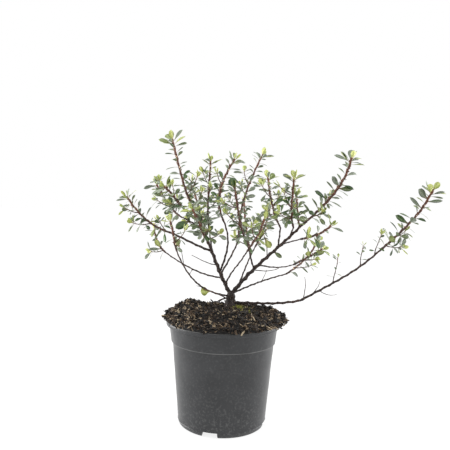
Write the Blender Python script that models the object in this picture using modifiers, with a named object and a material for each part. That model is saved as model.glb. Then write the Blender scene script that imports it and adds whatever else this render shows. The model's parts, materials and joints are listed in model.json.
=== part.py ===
"""A young escallonia shrub in a round nursery pot, heaped with bark compost.

Metres, +Z up. The origin is the middle of the pot's underside. +X is the side that the long low
bough reaches to, and -Y is the front. Every limb is a bowed, tapering curve that leaves its bearer
at a share of the bearer's length, and every mass of foliage is one shoot with its side twigs and
leaves fused on.
"""

import math
import random
from collections import namedtuple

import bmesh
import bpy
import numpy as np
from mathutils import Vector

# Spacing between neighbouring solids
GAP = 0.0003

# Pot
RIM_RADIUS = 0.085
POT_HEIGHT = 0.154
WALL = 0.0013
LIP_DROP = 0.0056
BAND_TOP_RADIUS = 0.0802
BAND_FOOT_RADIUS = 0.0772
BAND_FOOT_HEIGHT = 0.1235
BODY_TOP_RADIUS = 0.0751
BODY_FOOT_RADIUS = 0.0652
BODY_FOOT_HEIGHT = 0.0070
FOOT_RADIUS = 0.0616
FOOT_WIDTH = 0.0022
BASE_RISE = 0.0070
PAD_RADIUS = 0.0200
POT_SIDES = 30
NOTCHES = 4
NOTCH_WIDTH = 0.0240
NOTCH_HEIGHT = 0.0064
NOTCH_TURN = math.radians(-16)

# Bark compost, heaped over the rim
SOIL_LEVEL = 0.1722
SOIL_OVERHANG = 0.0030
SOIL_SPILL = 0.0050
SOIL_BUMP = 0.0020
SOIL_CALM_RADIUS = 0.0240

# Trunk
TRUNK_FOOT = Vector((0.0090, 0.0085, SOIL_LEVEL + GAP))
TRUNK_FORK = Vector((0.0095, 0.0090, 0.1960))
TRUNK_SIDES = 12
FLARE_LOBES = 5
# Share of the trunk's length, and its radius there, from the root flare to the rounded fork
TRUNK_GIRTH = (
    (0.00, 0.0100),
    (0.10, 0.0083),
    (0.28, 0.0071),
    (0.50, 0.0066),
    (0.72, 0.0066),
    (0.88, 0.0056),
    (1.00, 0.0030),
)

# Leaves and twigs
LEAF_LENGTH = 0.0182
LEAF_WIDTH_SHARE = 0.41
LEAF_THICKNESS = 0.0005
LEAF_WIDEST = 0.68
LEAF_STEP = 0.0135
ROSETTE_LEAVES = 4
ROSETTE_LENGTH = 0.0180
TWIG_REACH = (0.016, 0.030)
TWIG_LEAF_SHARE = 0.89
TWIG_FOOT_RADIUS = 0.0008
TWIG_TIP_RADIUS = 0.0005
GOLDEN_TURN = math.radians(137.5)
SWAY = 0.011
LIMB_CLEARANCE = 0.0012
SPACE_MARGIN = 0.0009
LEAF_CLEARANCE = 0.0019
MERGE_TESTS = (5e-7, 1.5e-6, 4e-6)
UNION_ATTEMPTS = 6

# A limb, in millimetres: where it leaves its bearer, where its tip is, how far its middle bows out
# of the straight, and its radius at each end
Limb = namedtuple("Limb", "name bearer share tip bow foot_radius tip_radius")

LIMBS = (
    Limb("left_main_bough", "trunk", 0.72, (-41, 1, 303), (-1, 2, 0), 3.2, 1.8),
    Limb("right_main_bough", "trunk", 0.74, (110, -18, 300), (-1, 3, 2), 3.2, 1.8),
    Limb("low_bough", "trunk", 0.27, (111, -8, 187), (0, 0, -3), 2.0, 1.8),
    Limb("low_bough_rise", "low_bough", 1.00, (222, -22, 266), (2, -1, -4), 1.8, 1.4),
    Limb("back_right_bough", "trunk", 0.78, (98, 80, 212), (-1, 1, 2), 1.5, 1.1),
    Limb("front_left_bough", "trunk", 0.66, (-66, -70, 263), (-11, -2, -12), 1.4, 1.0),
    Limb("back_left_bough", "left_main_bough", 0.23, (-95, 68, 244), (-1, 2, -7), 1.4, 1.0),
    Limb("left_side_bough", "left_main_bough", 0.58, (-78, -11, 282), (0, 0, -1), 1.8, 1.4),
    Limb("left_back_branch", "left_main_bough", 0.88, (-70, 24, 305), (0, 0, 0), 1.4, 1.1),
    Limb("left_front_branch", "left_main_bough", 0.96, (-62, -27, 320), (0, 0, -1), 1.3, 1.0),
    Limb("upper_left_branch", "left_main_bough", 0.55, (-26, 22, 288), (0, 1, 0), 1.4, 1.1),
    Limb("centre_branch", "left_main_bough", 0.31, (-3, -14, 300), (8, -1, 0), 1.6, 1.2),
    Limb("centre_back_branch", "left_main_bough", 0.28, (20, 37, 271), (1, 0, -1), 1.5, 1.2),
    Limb("centre_front_branch", "right_main_bough", 0.35, (28, -34, 278), (0, 0, 0), 1.4, 1.0),
    Limb("right_front_branch", "left_main_bough", 0.14, (30, -44, 262), (-1, 0, 1), 1.3, 1.0),
    Limb("right_back_branch", "right_main_bough", 0.12, (47, 70, 256), (-1, 0, 0), 1.3, 1.0),
    Limb("right_inner_branch", "right_main_bough", 0.67, (81, 12, 292), (0, 0, 0), 1.4, 1.2),
    Limb("right_outer_branch", "right_main_bough", 0.83, (96, -24, 296), (0, 0, 0), 1.3, 1.1),
    Limb("right_side_branch", "right_main_bough", 0.69, (105, -34, 280), (0, 0, 1), 1.2, 0.9),
    Limb("right_under_branch", "right_main_bough", 0.41, (104, 28, 235), (0, 0, -4), 1.2, 0.9),
)

# A shoot is a limb that also says how big its leaves are and how many side twigs it has
Shoot = namedtuple("Shoot", Limb._fields + ("leaf_size", "twigs"))

SHOOTS = (
    Shoot("foliage_left_top", "left_main_bough", 1.00, (-80, -14, 417), (-4, 0, -1), 1.7, 0.8, 1.0, 3),
    Shoot("foliage_right_top", "right_main_bough", 1.00, (169, -54, 395), (8, -2, -5), 1.7, 0.8, 1.05, 2),
    Shoot("foliage_low_tip", "low_bough_rise", 1.00, (289, -35, 355), (5, 0, -4), 1.4, 0.8, 1.0, 2),
    Shoot("foliage_back_right", "back_right_bough", 1.00, (154, 112, 265), (4, 2, -5), 1.0, 0.7, 1.0, 1),
    Shoot("foliage_front_left", "front_left_bough", 1.00, (-74, -82, 304), (0, -2, 0), 1.0, 0.7, 0.9, 1),
    Shoot("foliage_back_left", "back_left_bough", 1.00, (-115, 78, 279), (-3, 0, -3), 1.0, 0.7, 0.95, 1),
    Shoot("foliage_left_side", "left_side_bough", 1.00, (-142, -26, 334), (-5, -3, -6), 1.3, 0.7, 0.95, 2),
    Shoot("foliage_left_back", "left_back_branch", 1.00, (-110, 60, 352), (-2, 4, -4), 1.1, 0.7, 1.0, 2),
    Shoot("foliage_left_front", "left_front_branch", 1.00, (-86, -56, 350), (1, -1, 0), 1.0, 0.7, 0.95, 1),
    Shoot("foliage_upper_left", "upper_left_branch", 1.00, (-26, 45, 390), (-2, 3, -1), 1.1, 0.7, 1.0, 3),
    Shoot("foliage_centre", "centre_branch", 1.00, (10, -42, 390), (-13, -1, 1), 1.1, 0.7, 0.95, 2),
    Shoot("foliage_centre_back", "centre_back_branch", 1.00, (55, 68, 402), (-9, 5, 1), 1.2, 0.7, 1.0, 3),
    Shoot("foliage_centre_front", "centre_front_branch", 1.00, (10, -73, 350), (-2, -2, -2), 1, 0.7, 0.9, 2),
    Shoot("foliage_right_front", "right_front_branch", 1.00, (50, -82, 310), (1, -3, -3), 1.0, 0.7, 0.9, 1),
    Shoot("foliage_right_back", "right_back_branch", 1.00, (72, 106, 322), (3, 5, -4), 1.0, 0.7, 1.0, 2),
    Shoot("foliage_right_inner", "right_inner_branch", 1.00, (62, 39, 366), (-3, 3, -1), 1.1, 0.7, 1.0, 2),
    Shoot("foliage_right_outer", "right_outer_branch", 1.00, (92, -47, 365), (-3, -2, -1), 1.0, 0.7, 1.0, 2),
    Shoot("foliage_right_side", "right_side_branch", 1.00, (143, -60, 302), (1, -2, -3), 0.9, 0.7, 0.95, 1),
    Shoot("foliage_right_under", "right_under_branch", 1.00, (150, 46, 258), (0, 1, -1), 0.9, 0.7, 0.95, 1),
    Shoot("foliage_right_crown", "right_main_bough", 0.96, (105, 27, 340), (0, 4, -3), 1.0, 0.7, 1.0, 1),
    Shoot("foliage_crown_back", "left_main_bough", 0.80, (-53, 80, 343), (3, 4, -6), 1.1, 0.7, 1.0, 2),
    Shoot("foliage_crown_front", "left_main_bough", 0.70, (-46, -74, 321), (2, -4, -5), 1.1, 0.7, 0.9, 2),
    Shoot("foliage_far_back", "right_back_branch", 0.80, (29, 112, 326), (-2, 3, -3), 1.0, 0.7, 1.0, 2),
    Shoot("foliage_low_inner", "low_bough_rise", 0.40, (160, -30, 255), (0, -1, -1), 0.8, 0.5, 0.58, 0),
    Shoot("foliage_low_back", "low_bough_rise", 0.74, (200, -12, 271), (-1, 1, 0), 0.8, 0.5, 0.62, 0),
    Shoot("foliage_low_front", "low_bough_rise", 0.92, (219, -34, 289), (-1, -1, 0), 0.8, 0.5, 0.70, 0),
    Shoot("foliage_foot", "trunk", 0.40, (-30, -22, 203), (-1, -2, 2), 0.9, 0.6, 0.62, 0),
)

# Limbs start clear of these neighbours too, which leave the same bearer beside them
FORK_NEIGHBOURS = {
    "right_main_bough": ("left_main_bough",),
    "back_right_bough": ("left_main_bough", "right_main_bough"),
    "front_left_bough": ("left_main_bough", "right_main_bough", "back_right_bough"),
    "right_front_branch": ("trunk", "right_main_bough", "back_right_bough", "front_left_bough"),
    "right_back_branch": ("trunk", "left_main_bough", "back_right_bough"),
    "centre_branch": ("centre_back_branch", "back_left_bough"),
    "centre_back_branch": ("back_left_bough",),
    "upper_left_branch": ("left_side_bough",),
    "foliage_foot": ("low_bough", "front_left_bough"),
}

for old in list(bpy.data.objects):
    bpy.data.objects.remove(old, do_unlink=True)

plant = bpy.data.collections.new("potted_escallonia_shrub")
bpy.context.scene.collection.children.link(plant)
workshop = bpy.data.collections.new("workshop")
bpy.context.scene.collection.children.link(workshop)


def linear(channel):
    """One sRGB channel, 0 to 1, as linear light."""
    if channel <= 0.04045:
        return channel / 12.92
    return ((channel + 0.055) / 1.055) ** 2.4


def finish(name, colour, roughness):
    """A plain material from an sRGB hex colour."""
    material = bpy.data.materials.new(name)
    material.use_nodes = True
    shader = material.node_tree.nodes["Principled BSDF"]
    channels = [linear(int(colour[i : i + 2], 16) / 255) for i in (1, 3, 5)]
    shader.inputs["Base Color"].default_value = (*channels, 1.0)
    shader.inputs["Roughness"].default_value = roughness
    shader.inputs["Metallic"].default_value = 0.0
    material.diffuse_color = (*channels, 1.0)
    return material


POT_PLASTIC = finish("recycled_black_plastic", "#3E3F41", 0.45)
BARK_COMPOST = finish("bark_compost", "#3A2A1F", 0.95)
OLD_BARK = finish("old_bark", "#4A3830", 0.85)
LEAF_GREEN = finish("escallonia_leaf", "#6F8A4C", 0.40)


def mesh_object(name, mesh, material, collection):
    """An object that holds this mesh, in this collection."""
    piece = bpy.data.objects.new(name, mesh)
    if material:
        mesh.materials.clear()
        mesh.materials.append(material)
    collection.objects.link(piece)
    return piece


def baked(piece):
    """A new mesh of the object as its modifiers leave it, welded, with its faces pointing out."""
    bpy.context.view_layer.update()
    graph = bpy.context.evaluated_depsgraph_get()
    mesh = bpy.data.meshes.new_from_object(piece.evaluated_get(graph))
    bm = bmesh.new()
    bm.from_mesh(mesh)
    bmesh.ops.remove_doubles(bm, verts=bm.verts, dist=1e-6)
    bmesh.ops.recalc_face_normals(bm, faces=bm.faces)
    bm.to_mesh(mesh)
    bm.free()
    return mesh


def replace_by_mesh(piece, mesh, material, collection):
    """Puts this mesh in the object's place, under its name, and removes the object."""
    name = piece.name
    matrix = piece.matrix_world.copy()
    bpy.data.objects.remove(piece, do_unlink=True)
    made = mesh_object(name, mesh, material, collection)
    made.matrix_world = matrix
    return made


def turned(name, profile, sides, material):
    """A turned solid, from an outline whose outer side runs top to bottom and whose ends are on the axis."""
    mesh = bpy.data.meshes.new(name)
    points = [(radius, 0.0, height) for radius, height in profile]
    mesh.from_pydata(points, [(i, i + 1) for i in range(len(points) - 1)], [])
    piece = mesh_object(name, mesh, None, plant)
    screw = piece.modifiers.new("turn", "SCREW")
    screw.steps = sides
    screw.render_steps = sides
    screw.use_merge_vertices = True
    screw.merge_threshold = 1e-5
    return replace_by_mesh(piece, baked(piece), material, plant)


def boolean(piece, operation, other, solver="EXACT"):
    """Applies one Boolean with an object or a collection, and keeps the object's name and material."""
    modifier = piece.modifiers.new(operation.lower(), "BOOLEAN")
    modifier.operation = operation
    modifier.solver = solver
    if isinstance(other, bpy.types.Collection):
        modifier.operand_type = "COLLECTION"
        modifier.collection = other
    else:
        modifier.object = other
    mesh = baked(piece)
    piece.modifiers.remove(modifier)
    piece.data = mesh


def keep_largest_shell(piece):
    """Drops loose scraps and the inner skins of sealed hollows, which leaves one solid body."""
    bm = bmesh.new()
    bm.from_mesh(piece.data)
    unseen = set(bm.faces)
    shells = []
    while unseen:
        edge_of_shell = [unseen.pop()]
        shell = []
        while edge_of_shell:
            face = edge_of_shell.pop()
            shell.append(face)
            for edge in face.edges:
                for neighbour in edge.link_faces:
                    if neighbour in unseen:
                        unseen.remove(neighbour)
                        edge_of_shell.append(neighbour)
        shells.append(shell)
    shells.sort(key=lambda shell: sum(face.calc_area() for face in shell))
    loose = [face for shell in shells[:-1] for face in shell]
    bmesh.ops.delete(bm, geom=loose, context="FACES")
    bm.to_mesh(piece.data)
    bm.free()


def make_pot():
    """The thin moulded pot: rolled lip, deep band, tapering body, and a foot ring round a raised base."""
    floor = BASE_RISE + WALL
    lip_foot = POT_HEIGHT - LIP_DROP
    slope = (BODY_TOP_RADIUS - BODY_FOOT_RADIUS) / (BAND_FOOT_HEIGHT - BODY_FOOT_HEIGHT)
    inner_foot = BODY_FOOT_RADIUS - WALL + slope * (floor + 0.0018 - BODY_FOOT_HEIGHT)
    profile = [
        (0.0, WALL),
        (PAD_RADIUS - WALL, WALL),
        (PAD_RADIUS + 0.0016, floor),
        (inner_foot - 0.0030, floor),
        (inner_foot, floor + 0.0018),
        (BODY_TOP_RADIUS - WALL, BAND_FOOT_HEIGHT + 0.0002),
        (BAND_FOOT_RADIUS - WALL, BAND_FOOT_HEIGHT + 0.0016),
        (BAND_TOP_RADIUS - WALL, lip_foot + 0.0008),
        (RIM_RADIUS - 0.0028, POT_HEIGHT - 0.0004),
        (RIM_RADIUS - 0.0018, POT_HEIGHT),
        (RIM_RADIUS - 0.0006, POT_HEIGHT - 0.0003),
        (RIM_RADIUS, POT_HEIGHT - 0.0014),
        (RIM_RADIUS - 0.0002, lip_foot + 0.0006),
        (RIM_RADIUS - 0.0014, lip_foot),
        (BAND_TOP_RADIUS, lip_foot - 0.0004),
        (BAND_FOOT_RADIUS, BAND_FOOT_HEIGHT + 0.0010),
        (BAND_FOOT_RADIUS - 0.0006, BAND_FOOT_HEIGHT),
        (BODY_TOP_RADIUS, BAND_FOOT_HEIGHT - 0.0008),
        (BODY_FOOT_RADIUS, BODY_FOOT_HEIGHT + 0.0010),
        (BODY_FOOT_RADIUS + 0.0005, BODY_FOOT_HEIGHT),
        (BODY_FOOT_RADIUS, BODY_FOOT_HEIGHT - 0.0020),
        (FOOT_RADIUS + 0.0020, 0.0014),
        (FOOT_RADIUS, 0.0),
        (FOOT_RADIUS - FOOT_WIDTH, 0.0),
        (FOOT_RADIUS - FOOT_WIDTH - 0.0016, BASE_RISE),
        (PAD_RADIUS + 0.0030, BASE_RISE),
        (PAD_RADIUS, 0.0),
        (0.0, 0.0),
    ]
    pot = turned("pot", profile, POT_SIDES, POT_PLASTIC)
    half = NOTCH_WIDTH / 2
    for i in range(NOTCHES):
        bm = bmesh.new()
        bmesh.ops.create_cube(bm, size=1.0)
        for corner in bm.verts:
            upper = corner.co.z > 0
            corner.co.x = math.copysign(half * (0.86 if upper else 1.0), corner.co.x)
            corner.co.y = -FOOT_RADIUS + math.copysign(0.0095, corner.co.y)
            corner.co.z = NOTCH_HEIGHT if upper else -0.0040
        mesh = bpy.data.meshes.new("notch")
        bm.to_mesh(mesh)
        bm.free()
        cutter = mesh_object(f"notch_{i}", mesh, None, workshop)
        cutter.rotation_euler.z = NOTCH_TURN + math.tau * i / NOTCHES
        boolean(pot, "DIFFERENCE", cutter)
        bpy.data.objects.remove(cutter, do_unlink=True)
    pot.data.shade_smooth()
    pot.data.set_sharp_from_angle(angle=math.radians(28))
    return pot


def heap_height(x, y):
    """The compost's surface before its lumps: a low dome, higher at the back left, dipping at the right."""
    radius = math.hypot(x, y)
    share = min(radius / RIM_RADIUS, 1.0)
    dome = SOIL_LEVEL + 0.0020 * share - 0.0150 * max(0.0, share - 0.62) / 0.38
    left_hump = 0.0075 * math.exp(-((x + 0.062) ** 2 + (y - 0.010) ** 2) / (2 * 0.016**2))
    right_dip = 0.0030 * math.exp(-((x - 0.045) ** 2 + (y + 0.010) ** 2) / (2 * 0.030**2))
    return dome + left_hump - right_dip


def make_soil():
    """The compost: it fills the pot, clear of its wall, and stands in a lumpy heap that spills to the lip."""
    floor = BASE_RISE + WALL + GAP
    slope = (BODY_TOP_RADIUS - BODY_FOOT_RADIUS) / (BAND_FOOT_HEIGHT - BODY_FOOT_HEIGHT)
    inner_foot = BODY_FOOT_RADIUS - WALL + slope * (floor - BODY_FOOT_HEIGHT) - GAP
    spill = RIM_RADIUS + SOIL_OVERHANG
    top_radii = (0.0, 0.014, 0.029, 0.044, 0.058, 0.070, 0.079, 0.0845)
    top = [(radius, heap_height(radius, 0.0)) for radius in top_radii]
    under = [
        (spill, POT_HEIGHT + 0.0030),
        (spill - 0.0012, POT_HEIGHT + 0.0008),
        (RIM_RADIUS - 0.0034, POT_HEIGHT + 0.0006),
        (BAND_TOP_RADIUS - WALL - 0.0008, POT_HEIGHT - LIP_DROP),
        (BAND_FOOT_RADIUS - WALL - 0.0006, BAND_FOOT_HEIGHT + 0.0030),
        (BODY_TOP_RADIUS - WALL - 0.0006, BAND_FOOT_HEIGHT - 0.0006),
        (inner_foot - 0.0004, floor + 0.0030),
        (inner_foot - 0.0042, floor + 0.0002),
        (PAD_RADIUS + 0.0012, floor + 0.0002),
        (PAD_RADIUS - WALL - 0.0010, WALL + GAP + 0.0002),
        (0.0, WALL + GAP + 0.0002),
    ]
    soil = turned("compost", top + under, POT_SIDES, BARK_COMPOST)
    rng = random.Random(11)
    waves = []
    for _ in range(7):
        waves.append((rng.uniform(80, 210), rng.uniform(0, math.tau), rng.uniform(0, math.tau)))
    for vertex in soil.data.vertices:
        x, y, z = vertex.co
        if z > POT_HEIGHT and math.hypot(x, y) > RIM_RADIUS - 0.0020:
            reach = 1 + SOIL_SPILL / RIM_RADIUS * max(0.0, x / RIM_RADIUS) ** 2
            vertex.co.x = x * reach
            vertex.co.y = y * reach
        if z < POT_HEIGHT + 0.0040:
            continue
        lump = 0.0
        for rate, heading, phase in waves:
            lump += math.sin(rate * (x * math.cos(heading) + y * math.sin(heading)) + phase)
        from_trunk = math.hypot(x - TRUNK_FOOT.x, y - TRUNK_FOOT.y)
        loose = min(1.0, max(0.0, (from_trunk - SOIL_CALM_RADIUS) / 0.012))
        raised = heap_height(x, y) + SOIL_BUMP * lump / 2.6
        vertex.co.z = SOIL_LEVEL + (raised - SOIL_LEVEL) * loose
    return soil


def bowed(start, tip, bow):
    """A middle line as a function of the share of its length: a bow with a slight sway."""
    reach = tip - start
    sway = reach.cross(Vector((0.4, 0.6, 0.7))) * SWAY

    def line(share):
        rise = 4 * share * (1 - share)
        return start + reach * share + bow * rise + sway * math.sin(math.tau * share)

    return line


def trunk_line(share):
    """The trunk's middle line, from the compost to the fork."""
    return TRUNK_FOOT.lerp(TRUNK_FORK, share)


def tube(name, points, radii, sides):
    """A closed mesh tube through these points: a curve with a ring of this many sides and filled caps."""
    curve = bpy.data.curves.new(name, "CURVE")
    curve.dimensions = "3D"
    curve.use_fill_caps = True
    spline = curve.splines.new("POLY")
    spline.points.add(len(points) - 1)
    for point, place, radius in zip(spline.points, points, radii):
        point.co = (*place, 1.0)
        point.radius = radius
    ring = bpy.data.curves.new("ring", "CURVE")
    ring.dimensions = "2D"
    outline = ring.splines.new("POLY")
    outline.points.add(sides - 1)
    for i, point in enumerate(outline.points):
        turn = math.tau * i / sides
        point.co = (math.cos(turn), math.sin(turn), 0.0, 1.0)
    outline.use_cyclic_u = True
    guide = bpy.data.objects.new("ring", ring)
    workshop.objects.link(guide)
    curve.bevel_mode = "OBJECT"
    curve.bevel_object = guide
    piece = bpy.data.objects.new(name, curve)
    workshop.objects.link(piece)
    mesh = baked(piece)
    for helper in (piece, guide):
        bpy.data.objects.remove(helper, do_unlink=True)
    return mesh


def shares(count):
    return [i / (count - 1) for i in range(count)]


def samples(line, length, spacing):
    """Points on a middle line, no further apart than this."""
    count = max(3, math.ceil(length / spacing) + 1)
    return [line(share) for share in shares(count)]


class Stem:
    """A middle line with its taper, as limbs, shoots and side twigs share it."""

    def __init__(self, line, foot_radius, tip_radius):
        self.line = line
        self.foot_radius = foot_radius
        self.tip_radius = tip_radius
        ends = [line(share) for share in shares(17)]
        self.length = sum((b - a).length for a, b in zip(ends, ends[1:]))

    def heading(self, share):
        low = max(0.0, share - 0.02)
        high = min(1.0, share + 0.02)
        return (self.line(high) - self.line(low)).normalized()

    def radius(self, share):
        return self.foot_radius + (self.tip_radius - self.foot_radius) * share

    def mesh(self, name, sides, spacing, extra=0.0):
        points = samples(self.line, self.length, spacing)
        radii = [self.radius(share) + extra for share in shares(len(points))]
        points[-1] = points[-1] + (points[-1] - points[-2]).normalized() * extra
        return tube(name, points, radii, sides)

    def cloud(self):
        """Points on the middle line with the radius at each, for distance tests."""
        points = samples(self.line, self.length, 0.003)
        radii = [self.radius(share) for share in shares(len(points))]
        return np.array([(*p, r) for p, r in zip(points, radii)])


def trunk_mesh(extra=0.0):
    """The trunk with its root flare in lobes, cut flat at the compost."""
    levels = [share for share, _ in TRUNK_GIRTH]
    radii = [radius + extra for _, radius in TRUNK_GIRTH]
    mesh = tube("trunk", [trunk_line(share) for share in levels], radii, TRUNK_SIDES)
    for vertex in mesh.vertices:
        low = (vertex.co.z - TRUNK_FOOT.z) / (TRUNK_FORK.z - TRUNK_FOOT.z)
        middle = trunk_line(low)
        out = Vector((vertex.co.x - middle.x, vertex.co.y - middle.y, 0.0))
        turn = math.atan2(out.y, out.x)
        lobe = math.cos(FLARE_LOBES * turn + 0.9) * max(0.0, 1 - low / 0.3)
        reach = 1 + 0.16 * lobe + 0.05 * math.cos(3 * turn + 7 * low)
        vertex.co.x = middle.x + out.x * reach
        vertex.co.y = middle.y + out.y * reach
        if low < 0.02:
            vertex.co.z = TRUNK_FOOT.z
    return mesh


def grow(stems):
    """The stem of every limb and shoot, each started on its bearer."""
    for limb in LIMBS + SHOOTS:
        start = stems[limb.bearer].line(limb.share)
        line = bowed(start, Vector(limb.tip) / 1000, Vector(limb.bow) / 1000)
        stems[limb.name] = Stem(line, limb.foot_radius / 1000, limb.tip_radius / 1000)
    return stems


def turned_about(vector, axis, angle):
    """The vector turned about a unit axis."""
    across = axis.cross(vector)
    along = axis * axis.dot(vector)
    return along + (vector - along) * math.cos(angle) + across * math.sin(angle)


def outward(heading, turn):
    """A unit vector square to the heading, at this turn round it."""
    side = heading.cross(Vector((0.0, 1.0, 0.0)))
    if side.length < 0.2:
        side = heading.cross(Vector((1.0, 0.0, 0.0)))
    return turned_about(side.normalized(), heading, turn)


Leaf = namedtuple("Leaf", "root axis face length width")


def leaf_at(stem, share, turn, lean, length, width, roll):
    """A leaf that leaves the stem at this share, turn and lean, with its blade rolled a little."""
    heading = stem.heading(share)
    out = outward(heading, turn)
    axis = (heading * math.cos(lean) + out * math.sin(lean)).normalized()
    face = (heading - axis * heading.dot(axis)).normalized()
    face = turned_about(face, axis, roll)
    root = stem.line(share) - out * (0.4 * stem.radius(share))
    return Leaf(root, axis, face, length, width)


def blade_points(leaf):
    """Points over the blade: along its middle and at its widest, for distance tests."""
    side = leaf.axis.cross(leaf.face)
    middle = [leaf.root + leaf.axis * (leaf.length * share) for share in (0.3, 0.5, 0.75, 1.0)]
    widest = leaf.root + leaf.axis * (leaf.length * LEAF_WIDEST)
    edges = [widest + side * (leaf.width / 2), widest - side * (leaf.width / 2)]
    return np.array([tuple(point) for point in middle + edges])


def distance(points, cloud):
    """Each point's distance to the nearest surface of a cloud of middle-line points."""
    apart = np.linalg.norm(points[:, None, :] - cloud[None, :, :3], axis=2)
    return (apart - cloud[None, :, 3]).min(axis=1)


class Spaces:
    """Which stem each place in the crown belongs to."""

    def __init__(self, stems):
        self.clouds = {name: [stem.cloud()] for name, stem in stems.items()}
        self.shoots = {shoot.name for shoot in SHOOTS}

    def holds(self, name, points, clearance):
        """True where the points stay in the shoot's own space, clear of every limb and shoot."""
        own = distance(points, np.vstack(self.clouds[name]))
        for other, clouds in self.clouds.items():
            if other == name:
                continue
            apart = distance(points, np.vstack(clouds))
            if apart.min() < clearance:
                return False
            if other in self.shoots and (apart < own + SPACE_MARGIN).any():
                return False
        return True


def grow_twigs(shoot, stem, spaces, rng):
    """Side twigs up the lower part of a shoot, where its space has room for them."""
    twigs = []
    for i in range(shoot.twigs):
        share = 0.10 + 0.66 * (i + rng.uniform(0.0, 0.6)) / shoot.twigs
        reach = rng.uniform(*TWIG_REACH)
        lean = math.radians(rng.uniform(38, 58))
        first_turn = GOLDEN_TURN * i + rng.uniform(0, math.tau)
        heading = stem.heading(share)
        start = stem.line(share)
        for attempt in range(12):
            out = outward(heading, first_turn + attempt * math.tau / 6)
            aim = (heading * math.cos(lean) + out * math.sin(lean)).normalized()
            short = 1.0 if attempt < 6 else 0.7
            bow = (out - Vector((0.0, 0.0, 0.6))) * (0.06 * reach)
            line = bowed(start, start + aim * (reach * short), bow)
            twig = Stem(line, TWIG_FOOT_RADIUS, TWIG_TIP_RADIUS)
            if spaces.holds(shoot.name, twig.cloud()[3:, :3], 0.0035):
                twigs.append(twig)
                break
    return twigs


def leaf_orders(stem, first_share, size, rng):
    """The leaves that a stem asks for: share, turn, lean and length, then width as a share of length."""
    orders = []
    count = max(2, round(stem.length * (1 - first_share) / (LEAF_STEP * (0.4 + 0.6 * size))))
    turn = rng.uniform(0, math.tau)
    for i in range(count):
        share = first_share + (0.96 - first_share) * (i + 0.5) / count
        lean = math.radians(74 - 20 * share + rng.uniform(-10, 10))
        length = LEAF_LENGTH * size * (1.08 - 0.22 * share) * rng.uniform(0.80, 1.16)
        orders.append((share, turn, lean, length, LEAF_WIDTH_SHARE * rng.uniform(0.88, 1.12)))
        turn += GOLDEN_TURN
    for i in range(ROSETTE_LEAVES if size > TWIG_LEAF_SHARE else 3):
        upright = i < 3
        lean = math.radians(rng.uniform(14, 26) if upright else rng.uniform(42, 58))
        length = ROSETTE_LENGTH * size * (0.74 if upright else 1.0) * rng.uniform(0.88, 1.12)
        orders.append((0.985, turn, lean, length, 0.50 if upright else 0.38))
        turn += math.tau / 3 if upright else math.tau / 3 + 0.35
    return orders


def grow_leaves(name, stem, spaces, rng, blades, first_share, size):
    """Leaves in a spiral along one stem up to its rosette, each turned on until it has room."""
    leaves = []
    for share, turn, lean, length, width_share in leaf_orders(stem, first_share, size, rng):
        roll = math.radians(rng.gauss(0, 34))
        for attempt in range(10):
            fit = length if attempt < 5 else length * 0.74
            step = (attempt % 5 + 1) // 2 * math.radians(32) * (1 if attempt % 2 else -1)
            leaf = leaf_at(stem, share, turn + step, lean, fit, fit * width_share, roll)
            points = blade_points(leaf)
            if blades:
                apart = np.linalg.norm(points[1:, None] - np.vstack(blades)[None], axis=2)
                if apart.min() < LEAF_CLEARANCE:
                    continue
            if spaces.holds(name, points, LIMB_CLEARANCE):
                blades.append(points[1:])
                leaves.append(leaf)
                break
    return leaves


def leaf_mesh(leaf):
    """A thin blade of eight faces: root, tip and two widest points, with a crown on each side."""
    side = leaf.axis.cross(leaf.face)
    widest = leaf.root + leaf.axis * (leaf.length * LEAF_WIDEST)
    half = side * (leaf.width / 2)
    outline = [leaf.root, widest + half, leaf.root + leaf.axis * leaf.length, widest - half]
    middle = leaf.root + leaf.axis * (leaf.length * 0.5)
    crowns = [middle + leaf.face * (LEAF_THICKNESS / 2), middle - leaf.face * (LEAF_THICKNESS / 2)]
    faces = []
    for i in range(4):
        j = (i + 1) % 4
        faces.append((4, i, j))
        faces.append((5, j, i))
    mesh = bpy.data.meshes.new("leaf")
    mesh.from_pydata([tuple(point) for point in outline + crowns], [], faces)
    bm = bmesh.new()
    bm.from_mesh(mesh)
    bmesh.ops.recalc_face_normals(bm, faces=bm.faces)
    bm.to_mesh(mesh)
    bm.free()
    return mesh


def seat(piece, names, stems):
    """Cuts a piece clear of the limbs that carry it or leave beside it."""
    for name in names:
        if name == "trunk":
            mesh = trunk_mesh(GAP)
        else:
            mesh = stems[name].mesh("seat", 8, 0.012, GAP * 1.4)
        cutter = mesh_object("seat", mesh, None, workshop)
        boolean(piece, "DIFFERENCE", cutter)
        bpy.data.objects.remove(cutter, do_unlink=True)
    keep_largest_shell(piece)


def is_closed(piece):
    """True where every edge joins two faces, also when near points are taken as one."""
    for reach in MERGE_TESTS:
        bm = bmesh.new()
        bm.from_mesh(piece.data)
        bmesh.ops.remove_doubles(bm, verts=bm.verts, dist=reach)
        closed = all(len(edge.link_faces) == 2 for edge in bm.edges)
        bm.free()
        if not closed:
            return False
    return True


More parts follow.
